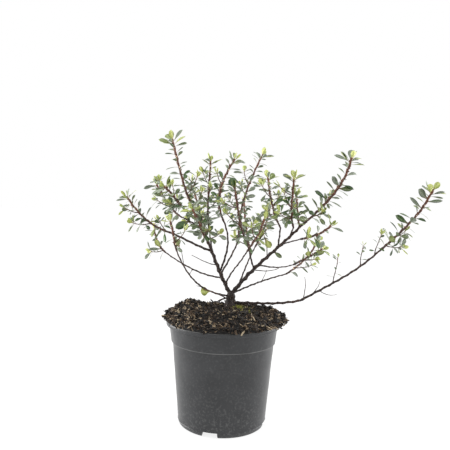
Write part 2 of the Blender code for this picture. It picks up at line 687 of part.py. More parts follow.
def make_foliage(shoot, stems, twigs, spaces):
    """One shoot with its side twigs and leaves, fused into one solid and seated on its bearer."""
    stem = stems[shoot.name]
    first_share = 0.06 if shoot.share == 1.0 else 0.26
    bearers = (shoot.bearer,) + FORK_NEIGHBOURS.get(shoot.name, ())
    for attempt in range(UNION_ATTEMPTS):
        rng = random.Random(f"{shoot.name} {attempt}")
        blades = []
        leaves = grow_leaves(shoot.name, stem, spaces, rng, blades, first_share, shoot.leaf_size)
        for twig in twigs:
            size = shoot.leaf_size * TWIG_LEAF_SHARE * 0.95
            leaves += grow_leaves(shoot.name, twig, spaces, rng, blades, 0.30, size)
        stem_mesh = stem.mesh("stem", 3, 0.016, 0.0002)
        foliage = mesh_object(shoot.name, stem_mesh, LEAF_GREEN, plant)
        spray = bpy.data.collections.new("spray")
        workshop.children.link(spray)
        for twig in twigs:
            mesh_object("twig", twig.mesh("twig", 3, 0.014, 0.0001), None, spray)
        for leaf in leaves:
            mesh_object("leaf", leaf_mesh(leaf), None, spray)
        boolean(foliage, "UNION", spray, "MANIFOLD")
        for part in list(spray.objects):
            bpy.data.objects.remove(part, do_unlink=True)
        bpy.data.collections.remove(spray)
        seat(foliage, bearers, stems)
        foliage.data.materials.clear()
        foliage.data.materials.append(LEAF_GREEN)
        if is_closed(foliage):
            break
        if attempt < UNION_ATTEMPTS - 1:
            bpy.data.objects.remove(foliage, do_unlink=True)
    return len(leaves)


make_pot()
make_soil()
mesh_object("trunk", trunk_mesh(), OLD_BARK, plant)

stems = grow({"trunk": Stem(trunk_line, 0.0068, 0.0060)})
for limb in LIMBS:
    piece = mesh_object(limb.name, stems[limb.name].mesh(limb.name, 6, 0.018), OLD_BARK, plant)
    seat(piece, (limb.bearer,) + FORK_NEIGHBOURS.get(limb.name, ()), stems)

spaces = Spaces(stems)
twigs = {}
for shoot in SHOOTS:
    rng = random.Random(shoot.name + " twigs")
    twigs[shoot.name] = grow_twigs(shoot, stems[shoot.name], spaces, rng)
    spaces.clouds[shoot.name] += [twig.cloud() for twig in twigs[shoot.name]]
leaf_count = 0
for shoot in SHOOTS:
    leaf_count += make_foliage(shoot, stems, twigs[shoot.name], spaces)
print("leaves", leaf_count)
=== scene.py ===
"""A young escallonia shrub in a black nursery pot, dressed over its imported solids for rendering."""

import json
import math
import random
from collections import namedtuple

import bmesh
import bpy
import numpy as np
from mathutils import Matrix, Vector, noise

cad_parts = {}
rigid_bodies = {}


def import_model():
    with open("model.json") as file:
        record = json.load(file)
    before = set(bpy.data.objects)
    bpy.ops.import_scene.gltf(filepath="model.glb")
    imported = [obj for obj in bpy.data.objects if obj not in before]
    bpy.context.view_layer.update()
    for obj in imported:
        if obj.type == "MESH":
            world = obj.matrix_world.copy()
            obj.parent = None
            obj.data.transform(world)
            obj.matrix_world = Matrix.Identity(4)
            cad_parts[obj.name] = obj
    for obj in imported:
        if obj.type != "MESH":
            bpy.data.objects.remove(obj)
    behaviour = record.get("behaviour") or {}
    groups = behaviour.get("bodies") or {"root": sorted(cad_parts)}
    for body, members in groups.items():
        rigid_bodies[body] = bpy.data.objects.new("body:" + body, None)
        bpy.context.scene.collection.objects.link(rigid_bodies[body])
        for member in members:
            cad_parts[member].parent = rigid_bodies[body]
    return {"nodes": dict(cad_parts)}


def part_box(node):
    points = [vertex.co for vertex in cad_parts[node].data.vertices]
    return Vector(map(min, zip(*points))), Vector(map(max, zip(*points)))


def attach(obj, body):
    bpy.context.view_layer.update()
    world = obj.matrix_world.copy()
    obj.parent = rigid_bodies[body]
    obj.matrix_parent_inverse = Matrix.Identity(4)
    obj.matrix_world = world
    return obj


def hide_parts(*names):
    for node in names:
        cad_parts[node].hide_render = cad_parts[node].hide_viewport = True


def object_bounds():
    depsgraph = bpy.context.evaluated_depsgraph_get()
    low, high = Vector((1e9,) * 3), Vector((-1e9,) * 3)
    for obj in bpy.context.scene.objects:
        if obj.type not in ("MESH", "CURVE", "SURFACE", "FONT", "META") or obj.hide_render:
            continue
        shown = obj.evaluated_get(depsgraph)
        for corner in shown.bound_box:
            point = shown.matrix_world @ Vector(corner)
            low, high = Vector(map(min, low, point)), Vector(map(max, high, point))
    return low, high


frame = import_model()
cad_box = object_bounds()

# Studio: a plain white sweep under an even white surround, with soft lights above at the left and at
# the right, and two low ones from behind along the pot's edges. The camera stands 85 cm in front of
# the pot, a little above the leaves' middle, looks slightly down and is rolled a little.
EYE = Vector((-0.0017, -0.850, 0.356))
PITCH = math.radians(4.1)
ROLL = math.radians(1.4)
FOCAL_SHARE = 580 / 450
PLANT_MIDDLE = Vector((0.05, 0.0, 0.20))
POT_MIDDLE = Vector((0.0, 0.0, 0.12))
FLOOR_REACH = 6.0
FLOOR_GLOW = 0.83


def linear(colour):
    """An sRGB hex colour as linear red, green, blue and alpha."""
    channels = [int(colour[i : i + 2], 16) / 255 for i in (1, 3, 5)]
    light = [c / 12.92 if c <= 0.04045 else ((c + 0.055) / 1.055) ** 2.4 for c in channels]
    return (*light, 1.0)


def add(tree, kind, inputs=None, **settings):
    """Adds a node with its settings. Each input is a value, or a socket to link from."""
    node = tree.nodes.new(kind)
    for name, value in settings.items():
        setattr(node, name, value)
    for name, value in (inputs or {}).items():
        if isinstance(value, bpy.types.NodeSocket):
            tree.links.new(value, node.inputs[name])
        else:
            node.inputs[name].default_value = value
    return node


def soft_light(name, place, aim, size, watts):
    """A square area light at a place, turned to its aim."""
    place = Vector(place)
    lamp = bpy.data.lights.new(name, "AREA")
    lamp.size = size
    lamp.energy = watts
    holder = bpy.data.objects.new(name, lamp)
    holder.location = place
    holder.rotation_euler = (aim - place).to_track_quat("-Z", "Y").to_euler()
    bpy.context.scene.collection.objects.link(holder)


camera = bpy.data.objects.new("camera", bpy.data.cameras.new("camera"))
camera.data.lens = camera.data.sensor_width * FOCAL_SHARE
camera.data.clip_start = 0.01
tilt = Matrix.Rotation(math.pi / 2 - PITCH, 4, "X") @ Matrix.Rotation(ROLL, 4, "Z")
camera.matrix_world = Matrix.Translation(EYE) @ tilt
bpy.context.scene.collection.objects.link(camera)
bpy.context.scene.camera = camera

WHITE = linear("#FFFFFF")
bpy.context.scene.view_settings.view_transform = "Standard"
surround = bpy.data.worlds.new("white_surround")
surround.use_nodes = True
surround.node_tree.nodes["Background"].inputs["Color"].default_value = WHITE
surround.node_tree.nodes["Background"].inputs["Strength"].default_value = 1.0
bpy.context.scene.world = surround
soft_light("key_light", (-1.0, -0.7, 1.6), PLANT_MIDDLE, size=1.2, watts=12.0)
soft_light("right_light", (1.4, 0.1, 0.9), PLANT_MIDDLE, size=1.0, watts=8.0)
soft_light("left_edge_light", (-1.2, 0.30, 0.25), POT_MIDDLE, size=0.9, watts=22.0)
soft_light("right_edge_light", (1.2, 0.40, 0.25), POT_MIDDLE, size=0.9, watts=15.0)

# Matt white paper with a glow of its own, so that it reads as even white and only the contact
# shadow shows on it
paper = bpy.data.materials.new("white_paper_sweep")
paper.use_nodes = True
sweep = paper.node_tree.nodes["Principled BSDF"]
sweep.inputs["Base Color"].default_value = linear("#7A7A7A")
sweep.inputs["Roughness"].default_value = 0.9
sweep.inputs["Specular IOR Level"].default_value = 0.0
sweep.inputs["Emission Color"].default_value = WHITE
sweep.inputs["Emission Strength"].default_value = FLOOR_GLOW
floor_mesh = bpy.data.meshes.new("floor")
corners = [(-1, -1), (1, -1), (1, 1), (-1, 1)]
floor_mesh.from_pydata([(x * FLOOR_REACH, y * FLOOR_REACH, 0) for x, y in corners], [], [(0, 1, 2, 3)])
floor_mesh.materials.append(paper)
floor = bpy.data.objects.new("floor", floor_mesh)
bpy.context.scene.collection.objects.link(floor)

# Nursery pot: one thin injection-moulded shell of recycled black polypropylene, with a rolled lip,
# a deep band above a ledge, a tapering body, and a foot ring with four drain notches. Grips and
# filling have left the band slightly wavy, and handling has left dusty scuffs.
RIM_RADIUS, _, POT_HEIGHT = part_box("pot")[1]
WALL = 0.0013
LIP_DROP = 0.0056
LIP_ROUND = 0.0013
LIP_UNDER_ROUND = 0.0010
BAND_TOP_RADIUS = 0.0802
BAND_FOOT_RADIUS = 0.0772
BAND_FOOT_HEIGHT = 0.1235
LEDGE_ROUND = 0.0008
BODY_TOP_RADIUS = 0.0751
BODY_FOOT_RADIUS = 0.0652
BODY_FOOT_HEIGHT = 0.0070
FOOT_RADIUS = 0.0616
FOOT_WIDTH = 0.0022
FOOT_ROUND = 0.0008
BASE_RISE = 0.0070
POT_SIDES = 192
BAND_STEPS = 12
BODY_STEPS = 20
NOTCHES = 4
NOTCH_WIDTH = 0.0250
NOTCH_HEIGHT = 0.0079
NOTCH_DEPTH = 0.0190
NOTCH_SLOPED_SIDE = 0.70
NOTCH_TURN = math.radians(-16)
SHARP_EDGE = math.radians(32)

# Grips have pushed the wall in and out in waves about 24 and 9 mm long, as noise scales per metre
# with their shares, and less towards the foot, which stays true
BAND_WAVE = 0.0006
WAVE_SCALES = ((42.0, 0.7), (110.0, 0.3))
WAVE_AT_FOOT = 0.35
TRUE_BELOW = 0.020


def arc(centre, radius, start, end, steps):
    """Points on an arc of a profile, as radius and height, from one angle to another in degrees."""
    angles = [math.radians(start + (end - start) * i / steps) for i in range(steps + 1)]
    return [(centre[0] + radius * math.cos(a), centre[1] + radius * math.sin(a)) for a in angles]


def wall_points(start, end, steps):
    """Even steps along a straight wall of a profile, from its start to the last step before its end."""
    shares = [i / steps for i in range(steps)]
    return [(start[0] + (end[0] - start[0]) * s, start[1] + (end[1] - start[1]) * s) for s in shares]


def pot_profile():
    """The pot's section, from the middle of its floor, up the inside, over the lip and down outside."""
    floor_top = BASE_RISE + WALL
    lip_foot = POT_HEIGHT - LIP_DROP
    ledge = BAND_FOOT_HEIGHT + LEDGE_ROUND
    outline = [
        (0.0, floor_top),
        (BODY_FOOT_RADIUS - 0.0060, floor_top),
        (BODY_FOOT_RADIUS - 0.0020, floor_top + 0.0016),
        (BODY_TOP_RADIUS - WALL, BAND_FOOT_HEIGHT),
        (BAND_FOOT_RADIUS - WALL, BAND_FOOT_HEIGHT + 0.0016),
        (BAND_TOP_RADIUS - WALL, lip_foot),
        (RIM_RADIUS - 0.0030, POT_HEIGHT - 0.0006),
    ]
    outline += arc((RIM_RADIUS - LIP_ROUND, POT_HEIGHT - LIP_ROUND), LIP_ROUND, 120, 0, 8)
    outline += arc((RIM_RADIUS - LIP_UNDER_ROUND, lip_foot + LIP_UNDER_ROUND), LIP_UNDER_ROUND, 0, -90, 5)
    outline.append((BAND_TOP_RADIUS + 0.0005, lip_foot - 0.0001))
    outline += wall_points((BAND_TOP_RADIUS, lip_foot - 0.0006), (BAND_FOOT_RADIUS, ledge), BAND_STEPS)
    outline += arc((BAND_FOOT_RADIUS - LEDGE_ROUND, ledge), LEDGE_ROUND, 0, -90, 4)
    outline.append((BODY_TOP_RADIUS + 0.0003, BAND_FOOT_HEIGHT - 0.0003))
    outline.append((BODY_TOP_RADIUS, BAND_FOOT_HEIGHT - 0.0009))
    body_top = (BODY_TOP_RADIUS, BAND_FOOT_HEIGHT)
    outline += wall_points(body_top, (BODY_FOOT_RADIUS, BODY_FOOT_HEIGHT + 0.0010), BODY_STEPS)[1:]
    outline += [
        (BODY_FOOT_RADIUS, BODY_FOOT_HEIGHT + 0.0008),
        (BODY_FOOT_RADIUS + 0.0004, BODY_FOOT_HEIGHT),
        (BODY_FOOT_RADIUS - 0.0002, BODY_FOOT_HEIGHT - 0.0022),
        (FOOT_RADIUS + 0.0019, 0.0016),
    ]
    outline += arc((FOOT_RADIUS - 0.0004, FOOT_ROUND), FOOT_ROUND, 0, -90, 4)
    outline += [
        (FOOT_RADIUS - FOOT_WIDTH, 0.0),
        (FOOT_RADIUS - FOOT_WIDTH - 0.0012, BASE_RISE),
        (0.0, BASE_RISE),
    ]
    return outline


def show(name, mesh, material):
    """An object for this mesh at the origin, with its material."""
    mesh.materials.clear()
    mesh.materials.append(material)
    piece = bpy.data.objects.new(name, mesh)
    bpy.context.scene.collection.objects.link(piece)
    return piece


def evaluated(piece):
    """A plain mesh of the object as its modifiers leave it."""
    bpy.context.view_layer.update()
    return bpy.data.meshes.new_from_object(piece.evaluated_get(bpy.context.evaluated_depsgraph_get()))


# Marks on the moulding, as noise scales per metre: clouds in the recycled resin about 25 mm across,
# dust about 3 mm from speck to speck, coarser than real dust so that it shows, and a 1 mm grain
CLOUD_SCALE = 38.0
DUST_SCALE = 330.0
GRAIN_SCALE = 900.0
DUSTY_FROM = 0.085
DUSTIEST_AT = 0.015

# Painted highlights, pale lines where the ledge and the rim catch the light: how high each is, how far each
# reaches, and how strong
PAINTED_EDGE_HIGHLIGHTS = ((BAND_FOOT_HEIGHT + 0.0006, 0.0009, 0.55), (POT_HEIGHT, 0.0008, 0.75))


def recycled_polypropylene():
    """Satin black moulding: cloudy greys, dusty scuffs low on the wall, and painted highlights along the rim
    and the ledge.
    """
    material = bpy.data.materials.new("recycled_black_polypropylene")
    material.use_nodes = True
    tree = material.node_tree
    shader = tree.nodes["Principled BSDF"]
    place = add(tree, "ShaderNodeTexCoord").outputs["Object"]
    height = add(tree, "ShaderNodeSeparateXYZ", {"Vector": place}).outputs["Z"]
    cloud = add(tree, "ShaderNodeTexNoise", {"Vector": place, "Scale": CLOUD_SCALE, "Detail": 4.0})
    tone = add(tree, "ShaderNodeValToRGB", {"Fac": cloud.outputs["Fac"]})
    for element, position, grey in zip(tone.color_ramp.elements, (0.30, 0.75), ("#1E1F21", "#292A2C")):
        element.position = position
        element.color = linear(grey)
    scuff = add(tree, "ShaderNodeTexNoise", {"Vector": place, "Scale": DUST_SCALE, "Detail": 9.0})
    scuff = scuff.outputs["Fac"]
    specks = add(tree, "ShaderNodeMapRange", {"Value": scuff, "From Min": 0.50, "From Max": 0.92})
    fade = {"Value": height, "From Min": DUSTY_FROM, "From Max": DUSTIEST_AT, "To Min": 0.14, "To Max": 0.40}
    low_down = add(tree, "ShaderNodeMapRange", fade)
    dust_and_highlight = add(tree, "ShaderNodeMath", {0: specks.outputs[0], 1: low_down.outputs[0]}, operation="MULTIPLY")
    # Painted highlight: a pale line along each edge where it catches the light, broken up by the resin's
    # clouds
    for edge_height, reach, strength in PAINTED_EDGE_HIGHLIGHTS:
        off = add(tree, "ShaderNodeMath", {0: height, 1: edge_height}, operation="SUBTRACT").outputs[0]
        off = add(tree, "ShaderNodeMath", {0: off}, operation="ABSOLUTE").outputs[0]
        edge_highlight = add(tree, "ShaderNodeMapRange", {"Value": off, "From Min": reach, "From Max": 0.0})
        edge_highlight.inputs["To Max"].default_value = strength
        broken_highlight = {0: edge_highlight.outputs[0], 1: cloud.outputs["Fac"]}
        broken_highlight = add(tree, "ShaderNodeMath", broken_highlight, operation="MULTIPLY").outputs[0]
        broken_highlight = add(tree, "ShaderNodeMath", {0: broken_highlight, 1: 1.6}, operation="MULTIPLY").outputs[0]
        dust_and_highlight = add(tree, "ShaderNodeMath", {0: dust_and_highlight.outputs[0], 1: broken_highlight}, operation="MAXIMUM")
    # Pale grey for the real dust and for the painted edge highlights alike
    mixed = add(tree, "ShaderNodeMix", {"Factor": dust_and_highlight.outputs[0]}, data_type="RGBA")
    tree.links.new(tone.outputs["Color"], mixed.inputs["A"])
    mixed.inputs["B"].default_value = linear("#8A8A88")
    tree.links.new(mixed.outputs["Result"], shader.inputs["Base Color"])
    dull = add(tree, "ShaderNodeMapRange", {"Value": dust_and_highlight.outputs[0], "To Min": 0.33, "To Max": 0.62})
    tree.links.new(dull.outputs[0], shader.inputs["Roughness"])
    grain = add(tree, "ShaderNodeTexNoise", {"Vector": place, "Scale": GRAIN_SCALE, "Detail": 2.0})
    bump = add(tree, "ShaderNodeBump", {"Height": grain.outputs["Fac"], "Strength": 0.06, "Distance": 0.0005})
    tree.links.new(bump.outputs[0], shader.inputs["Normal"])
    shader.inputs["IOR"].default_value = 1.49
    return material


def turned_shell():
    """The profile turned round the pot's axis, with its wall waved by hand grips, most in the band."""
    outline = bpy.data.meshes.new("pot_outline")
    points = [(radius, 0.0, height) for radius, height in pot_profile()]
    outline.from_pydata(points, [(i, i + 1) for i in range(len(points) - 1)], [])
    blank = bpy.data.objects.new("pot_blank", outline)
    bpy.context.scene.collection.objects.link(blank)
    turn = blank.modifiers.new("turn", "SCREW")
    turn.steps = POT_SIDES
    turn.render_steps = POT_SIDES
    turn.use_merge_vertices = True
    turn.merge_threshold = 1e-5
    turned = evaluated(blank)
    bpy.data.objects.remove(blank, do_unlink=True)
    bm = bmesh.new()
    bm.from_mesh(turned)
    bmesh.ops.remove_doubles(bm, verts=bm.verts, dist=1e-6)
    for vertex in bm.verts:
        radius = math.hypot(vertex.co.x, vertex.co.y)
        if radius < BODY_FOOT_RADIUS or vertex.co.z < TRUE_BELOW:
            continue
        height = vertex.co.z / POT_HEIGHT
        wave = sum(noise.noise(vertex.co * scale) * depth for scale, depth in WAVE_SCALES)
        push = 1 + BAND_WAVE * wave * (WAVE_AT_FOOT + (1 - WAVE_AT_FOOT) * height) / radius
        vertex.co.x *= push
        vertex.co.y *= push
    bmesh.ops.recalc_face_normals(bm, faces=bm.faces)
    bm.to_mesh(turned)
    bm.free()
    return turned


def notch_cutter(turn):
    """A block through the foot ring at this turn, with its upper corner sloped on one side."""
    bm = bmesh.new()
    bmesh.ops.create_cube(bm, size=1.0)
    for corner in bm.verts:
        upper = corner.co.z > 0
        sloped = upper and corner.co.x < 0
        half_width = NOTCH_WIDTH / 2 * (NOTCH_SLOPED_SIDE if sloped else 1.0)
        corner.co.x = math.copysign(half_width, corner.co.x)
        corner.co.y = -FOOT_RADIUS + math.copysign(NOTCH_DEPTH / 2, corner.co.y)
        corner.co.z = NOTCH_HEIGHT if upper else -0.0040
    bmesh.ops.rotate(bm, verts=bm.verts, matrix=Matrix.Rotation(turn, 3, "Z"))
    mesh = bpy.data.meshes.new("notch")
    bm.to_mesh(mesh)
    bm.free()
    cutter = bpy.data.objects.new("notch", mesh)
    bpy.context.scene.collection.objects.link(cutter)
    return cutter


def moulded_pot():
    """The turned shell with the drain notches cut through its foot."""
    pot = show("nursery_pot", turned_shell(), recycled_polypropylene())
    for i in range(NOTCHES):
        cutter = notch_cutter(NOTCH_TURN + math.tau * i / NOTCHES)
        cut = pot.modifiers.new("notch", "BOOLEAN")
        cut.object = cutter
        cut_mesh = evaluated(pot)
        pot.modifiers.remove(cut)
        pot.data = cut_mesh
        bpy.data.objects.remove(cutter, do_unlink=True)
    pot.data.shade_smooth()
    pot.data.set_sharp_from_angle(angle=SHARP_EDGE)
    return pot


nursery_pot = moulded_pot()
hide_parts("pot")
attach(nursery_pot, "root")

# Compost: shredded bark and peat, heaped higher than the rim and spilling over it at the right. The
# fine crumb is one lumpy mound, and the chips, slivers and fibres lie on it every way up. A little
# moss grows by the trunk.
SOIL_LEVEL = 0.1722
SOIL_CALM_RADIUS = 0.0144
SOIL_LOOSE_RADIUS = 0.0284
SOIL_SPILL = 0.0050
SOIL_REACH = RIM_RADIUS + 0.0010
MOUND_FOOT = 0.120
TRUNK_PLACE = Vector((0.0090, 0.0085, SOIL_LEVEL))
HEAP_RINGS = 64
HEAP_SIDES = 160
HEAP_RISE = 0.0020
EDGE_FALL = 0.0150
EDGE_FALL_FROM = 0.62

# The heap's hump at the left, dip at the right and small hump by the right edge: how high, how far
# right and back, and how wide
HEAP_HUMPS = (
    (0.0075, -0.062, 0.010, 0.016),
    (-0.0030, 0.045, -0.010, 0.030),
    (0.0060, 0.074, 0.004, 0.013),
)

# The back lies lower: by how much, between which places front to back, and from which left to right
BACK_DIP = 0.0085
BACK_DIP_FAR = (0.012, 0.062)
BACK_DIP_RIGHT = (-0.055, -0.035)

# Lumps of crumb, about 10 and 4 mm apart, as noise scales per metre with the height of each
LUMP_SCALES = ((95.0, 0.0042), (260.0, 0.0024))


def eased(value, start, end):
    """How far a value has come from start to end, from 0 to 1."""
    return min(1.0, max(0.0, (value - start) / (end - start)))


def heap_height(x, y):
    """The heap's height: nearly level, with humps and dips, falling off at the rim and at the back."""
    share = min(math.hypot(x, y) / RIM_RADIUS, 1.0)
    height = SOIL_LEVEL + HEAP_RISE * share - EDGE_FALL * eased(share, EDGE_FALL_FROM, 1.0)
    for high, right, far, spread in HEAP_HUMPS:
        height += high * math.exp(-((x - right) ** 2 + (y - far) ** 2) / (2 * spread**2))
    back = eased(y, *BACK_DIP_FAR)
    return height - BACK_DIP * back * back * (3 - 2 * back) * eased(x, *BACK_DIP_RIGHT)


def mound_height(x, y):
    """The crumb's surface: the heap with lumps, calm and level round the trunk."""
    spot = Vector((x, y, 0.0))
    lumps = sum(noise.noise(spot * scale) * high for scale, high in LUMP_SCALES)
    from_trunk = math.hypot(x - TRUNK_PLACE.x, y - TRUNK_PLACE.y)
    loose = eased(from_trunk, SOIL_CALM_RADIUS, SOIL_LOOSE_RADIUS)
    return SOIL_LEVEL - 0.0004 + (heap_height(x, y) + lumps - SOIL_LEVEL) * loose


def mound():
    """The crumb as one closed mound: rings of the surface, then its rim, and a flat base in the pot."""
    turns = [math.tau * side / HEAP_SIDES for side in range(HEAP_SIDES)]
    rings = []
    for ring in range(1, HEAP_RINGS + 1):
        radius = SOIL_REACH * ring / HEAP_RINGS
        row = []
        for turn in turns:
            x = radius * math.cos(turn)
            y = radius * math.sin(turn)
            spill = 1 + SOIL_SPILL / RIM_RADIUS * max(0.0, x / RIM_RADIUS) ** 2 * (ring / HEAP_RINGS) ** 6
            row.append((x * spill, y * spill, mound_height(x, y)))
        rings.append(row)
    skirt = (
        (SOIL_REACH - 0.0010, POT_HEIGHT + 0.0010),
        (BAND_TOP_RADIUS - 0.0030, 0.146),
        (0.070, MOUND_FOOT),
    )
    for radius, height in skirt:
        rings.append([(radius * math.cos(turn), radius * math.sin(turn), height) for turn in turns])
    points = [point for row in rings for point in row]
    faces = []
    for ring in range(len(rings) - 1):
        for i in range(HEAP_SIDES):
            j = (i + 1) % HEAP_SIDES
            a = ring * HEAP_SIDES
            b = a + HEAP_SIDES
            faces.append((a + i, b + i, b + j, a + j))
    top = len(points)
    points.append((0.0, 0.0, mound_height(0.0, 0.0)))
    points.append((0.0, 0.0, MOUND_FOOT))
    last = (len(rings) - 1) * HEAP_SIDES
    for i in range(HEAP_SIDES):
        j = (i + 1) % HEAP_SIDES
        faces.append((top, i, j))
        faces.append((top + 1, last + j, last + i))
    mesh = bpy.data.meshes.new("mound")
    mesh.from_pydata(points, [], faces)
    mesh.shade_smooth()
    return mesh


def tinted(name, stops, roughness, grain_scale, bump_strength):
    """A rough natural material whose colour goes by each small shape's own tint, mottled by a fine grain."""
    material = bpy.data.materials.new(name)
    material.use_nodes = True
    tree = material.node_tree
    shader = tree.nodes["Principled BSDF"]
    place = add(tree, "ShaderNodeTexCoord").outputs["Object"]
    tint = add(tree, "ShaderNodeAttribute", attribute_name="tint").outputs["Fac"]
    grain = add(tree, "ShaderNodeTexNoise", {"Vector": place, "Scale": grain_scale, "Detail": 5.0})
    grain = grain.outputs["Fac"]
    spread = add(tree, "ShaderNodeMath", {0: grain, 1: 0.9, 2: -0.45}, operation="MULTIPLY_ADD")
    shade = add(tree, "ShaderNodeMath", {0: tint, 1: spread.outputs[0]}, operation="ADD")
    ramp = add(tree, "ShaderNodeValToRGB", {"Fac": shade.outputs[0]})
    while len(ramp.color_ramp.elements) < len(stops):
        ramp.color_ramp.elements.new(0.5)
    for element, (position, colour) in zip(ramp.color_ramp.elements, stops):
        element.position = position
        element.color = linear(colour)
    tree.links.new(ramp.outputs["Color"], shader.inputs["Base Color"])
    bump = add(tree, "ShaderNodeBump", {"Height": grain, "Strength": bump_strength, "Distance": 0.001})
    tree.links.new(bump.outputs[0], shader.inputs["Normal"])
    shader.inputs["Roughness"].default_value = roughness
    return material


def scatter_tree():
    """A node tree that puts one of a collection's shapes on each point, at the point's turn and size."""
    tree = bpy.data.node_groups.new("scatter", "GeometryNodeTree")
    sockets = (
        ("Geometry", "NodeSocketGeometry"),
        ("Shapes", "NodeSocketCollection"),
        ("Size", "NodeSocketFloat"),
        ("Finish", "NodeSocketMaterial"),
    )
    for name, kind in sockets:
        tree.interface.new_socket(name, in_out="INPUT", socket_type=kind)
    tree.interface.new_socket("Geometry", in_out="OUTPUT", socket_type="NodeSocketGeometry")
    given = add(tree, "NodeGroupInput").outputs
    shapes = add(tree, "GeometryNodeCollectionInfo", {"Collection": given["Shapes"]})
    shapes.inputs["Separate Children"].default_value = True
    shapes.inputs["Reset Children"].default_value = True
    form = add(tree, "GeometryNodeInputNamedAttribute", {"Name": "form"}, data_type="INT")
    turn = add(tree, "GeometryNodeInputNamedAttribute", {"Name": "turn"}, data_type="FLOAT_VECTOR")
    size = add(tree, "GeometryNodeInputNamedAttribute", {"Name": "size"}, data_type="FLOAT_VECTOR")
    scale = add(tree, "ShaderNodeVectorMath", {0: size.outputs["Attribute"]}, operation="SCALE")
    tree.links.new(given["Size"], scale.inputs["Scale"])
    place = add(tree, "GeometryNodeInstanceOnPoints", {"Points": given["Geometry"], "Pick Instance": True})
    tree.links.new(shapes.outputs[0], place.inputs["Instance"])
    tree.links.new(form.outputs["Attribute"], place.inputs["Instance Index"])
    tree.links.new(turn.outputs["Attribute"], place.inputs["Rotation"])
    tree.links.new(scale.outputs[0], place.inputs["Scale"])
    real = add(tree, "GeometryNodeRealizeInstances", {"Geometry": place.outputs[0]})
    finish = add(tree, "GeometryNodeSetMaterial", {"Geometry": real.outputs[0], "Material": given["Finish"]})
    add(tree, "NodeGroupOutput", {"Geometry": finish.outputs[0]})
    return tree


SCATTER = scatter_tree()

# Where one small shape goes: its point, turn and size, its tint from 0 to 1, and which shape it is
Place = namedtuple("Place", "point turn size tint form")
PLACE_FIELDS = (
    ("turn", "FLOAT_VECTOR", "vector"),
    ("size", "FLOAT_VECTOR", "vector"),
    ("tint", "FLOAT", "value"),
    ("form", "INT", "value"),
)


def scatter(name, places, shapes, material):
    """One plain mesh of many small shapes, each at its place."""
    points = bpy.data.meshes.new(name + "_points")
    points.from_pydata([tuple(place.point) for place in places], [], [])
    for field, kind, key in PLACE_FIELDS:
        values = np.ravel([getattr(place, field) for place in places])
        points.attributes.new(field, kind, "POINT").data.foreach_set(key, values)
    holder = bpy.data.objects.new(name + "_points", points)
    bpy.context.scene.collection.objects.link(holder)
    stock = bpy.data.collections.new(name + "_shapes")
    for i, shape in enumerate(shapes):
        stock.objects.link(bpy.data.objects.new(f"{name}_shape_{i:02d}", shape))
    modifier = holder.modifiers.new("scatter", "NODES")
    modifier.node_group = SCATTER
    values = {"Shapes": stock, "Size": 1.0, "Finish": material}
    for socket in SCATTER.interface.items_tree:
        if socket.in_out == "INPUT" and socket.name in values:
            modifier[socket.identifier] = values[socket.name]
    mesh = evaluated(holder)
    for old in (holder, *stock.objects):
        bpy.data.objects.remove(old, do_unlink=True)
    bpy.data.collections.remove(stock)
    return show(name, mesh, material)


# A sort of loose piece: how many, their sizes, how far they lean out of the heap, and a seed
Sort = namedtuple("Sort", "count lengths widths thicknesses lean seed")

CHIPS = Sort(2600, (0.0030, 0.0120), (0.0012, 0.0040), (0.0006, 0.0020), 0.38, 3)
BIG_CHIPS = Sort(220, (0.0090, 0.0150), (0.0024, 0.0050), (0.0010, 0.0026), 0.55, 17)
FIBRES = Sort(520, (0.0070, 0.0200), (0.0004, 0.0009), (0.0003, 0.0006), 0.30, 9)
LIP_CHIPS = Sort(620, (0.004, 0.011), (0.0014, 0.0036), (0.0007, 0.0020), 0.35, 5)
CHIP_FORMS = 8
BARE_BY_TRUNK = 0.0125

# Chips along the rim: the share that hang over it, and how far those and the rest stand out from it
SPILLING_SHARE = 0.30
SPILLING_REACH = (-0.004, 0.0085)
RESTING_REACH = (-0.0070, -0.0005)

# Moss: its tufts, the share of them in the cushion, and how far right and back the middle of the
# cushion and of the patch is, with how wide each spreads
MOSS_TUFTS = 420
MOSS_CUSHION_SHARE = 0.80
MOSS_CUSHION = (0.0215, 0.001, 0.0052)
MOSS_PATCH = (0.032, -0.020, 0.0060)


def chip_shape(seed, pointed):
    """A splintered chip, one unit long: a box that tapers to both ends, with its corners thrown about."""
    rng = random.Random(seed)
    bm = bmesh.new()
    bmesh.ops.create_cube(bm, size=1.0)
    lengthways = [edge for edge in bm.edges if abs(edge.verts[0].co.x - edge.verts[1].co.x) > 0.5]
    bmesh.ops.subdivide_edges(bm, edges=lengthways, cuts=2)
    for vertex in bm.verts:
        taper = 1 - pointed * abs(vertex.co.x) * 1.3
        vertex.co.y *= taper
        vertex.co.z *= taper
        vertex.co += Vector([rng.uniform(-0.16, 0.16) * share for share in (0.8, 1.3, 1.3)])
    mesh = bpy.data.meshes.new("chip")
    bm.to_mesh(mesh)
    bm.free()
    return mesh


def on_heap(x, y, lean, rng):
    """A turn that lays a shape's long side on the heap at this spot, any way round, leaning a little."""
    step = 0.002
    slope = Vector((
        heap_height(x - step, y) - heap_height(x + step, y),
        heap_height(x, y - step) - heap_height(x, y + step),
        2 * step,
    )).normalized()
    heading = rng.uniform(0, math.tau)
    along = Vector((math.cos(heading), math.sin(heading), 0.0))
    along = (along - slope * along.dot(slope)).normalized()
    along = (along + slope * math.tan(rng.gauss(0, lean))).normalized()
    across = slope.cross(along).normalized()
    up = along.cross(across)
    spin = Matrix.Rotation(rng.gauss(0, 0.6), 3, "X")
    return (Matrix((along, across, up)).transposed() @ spin).to_euler()


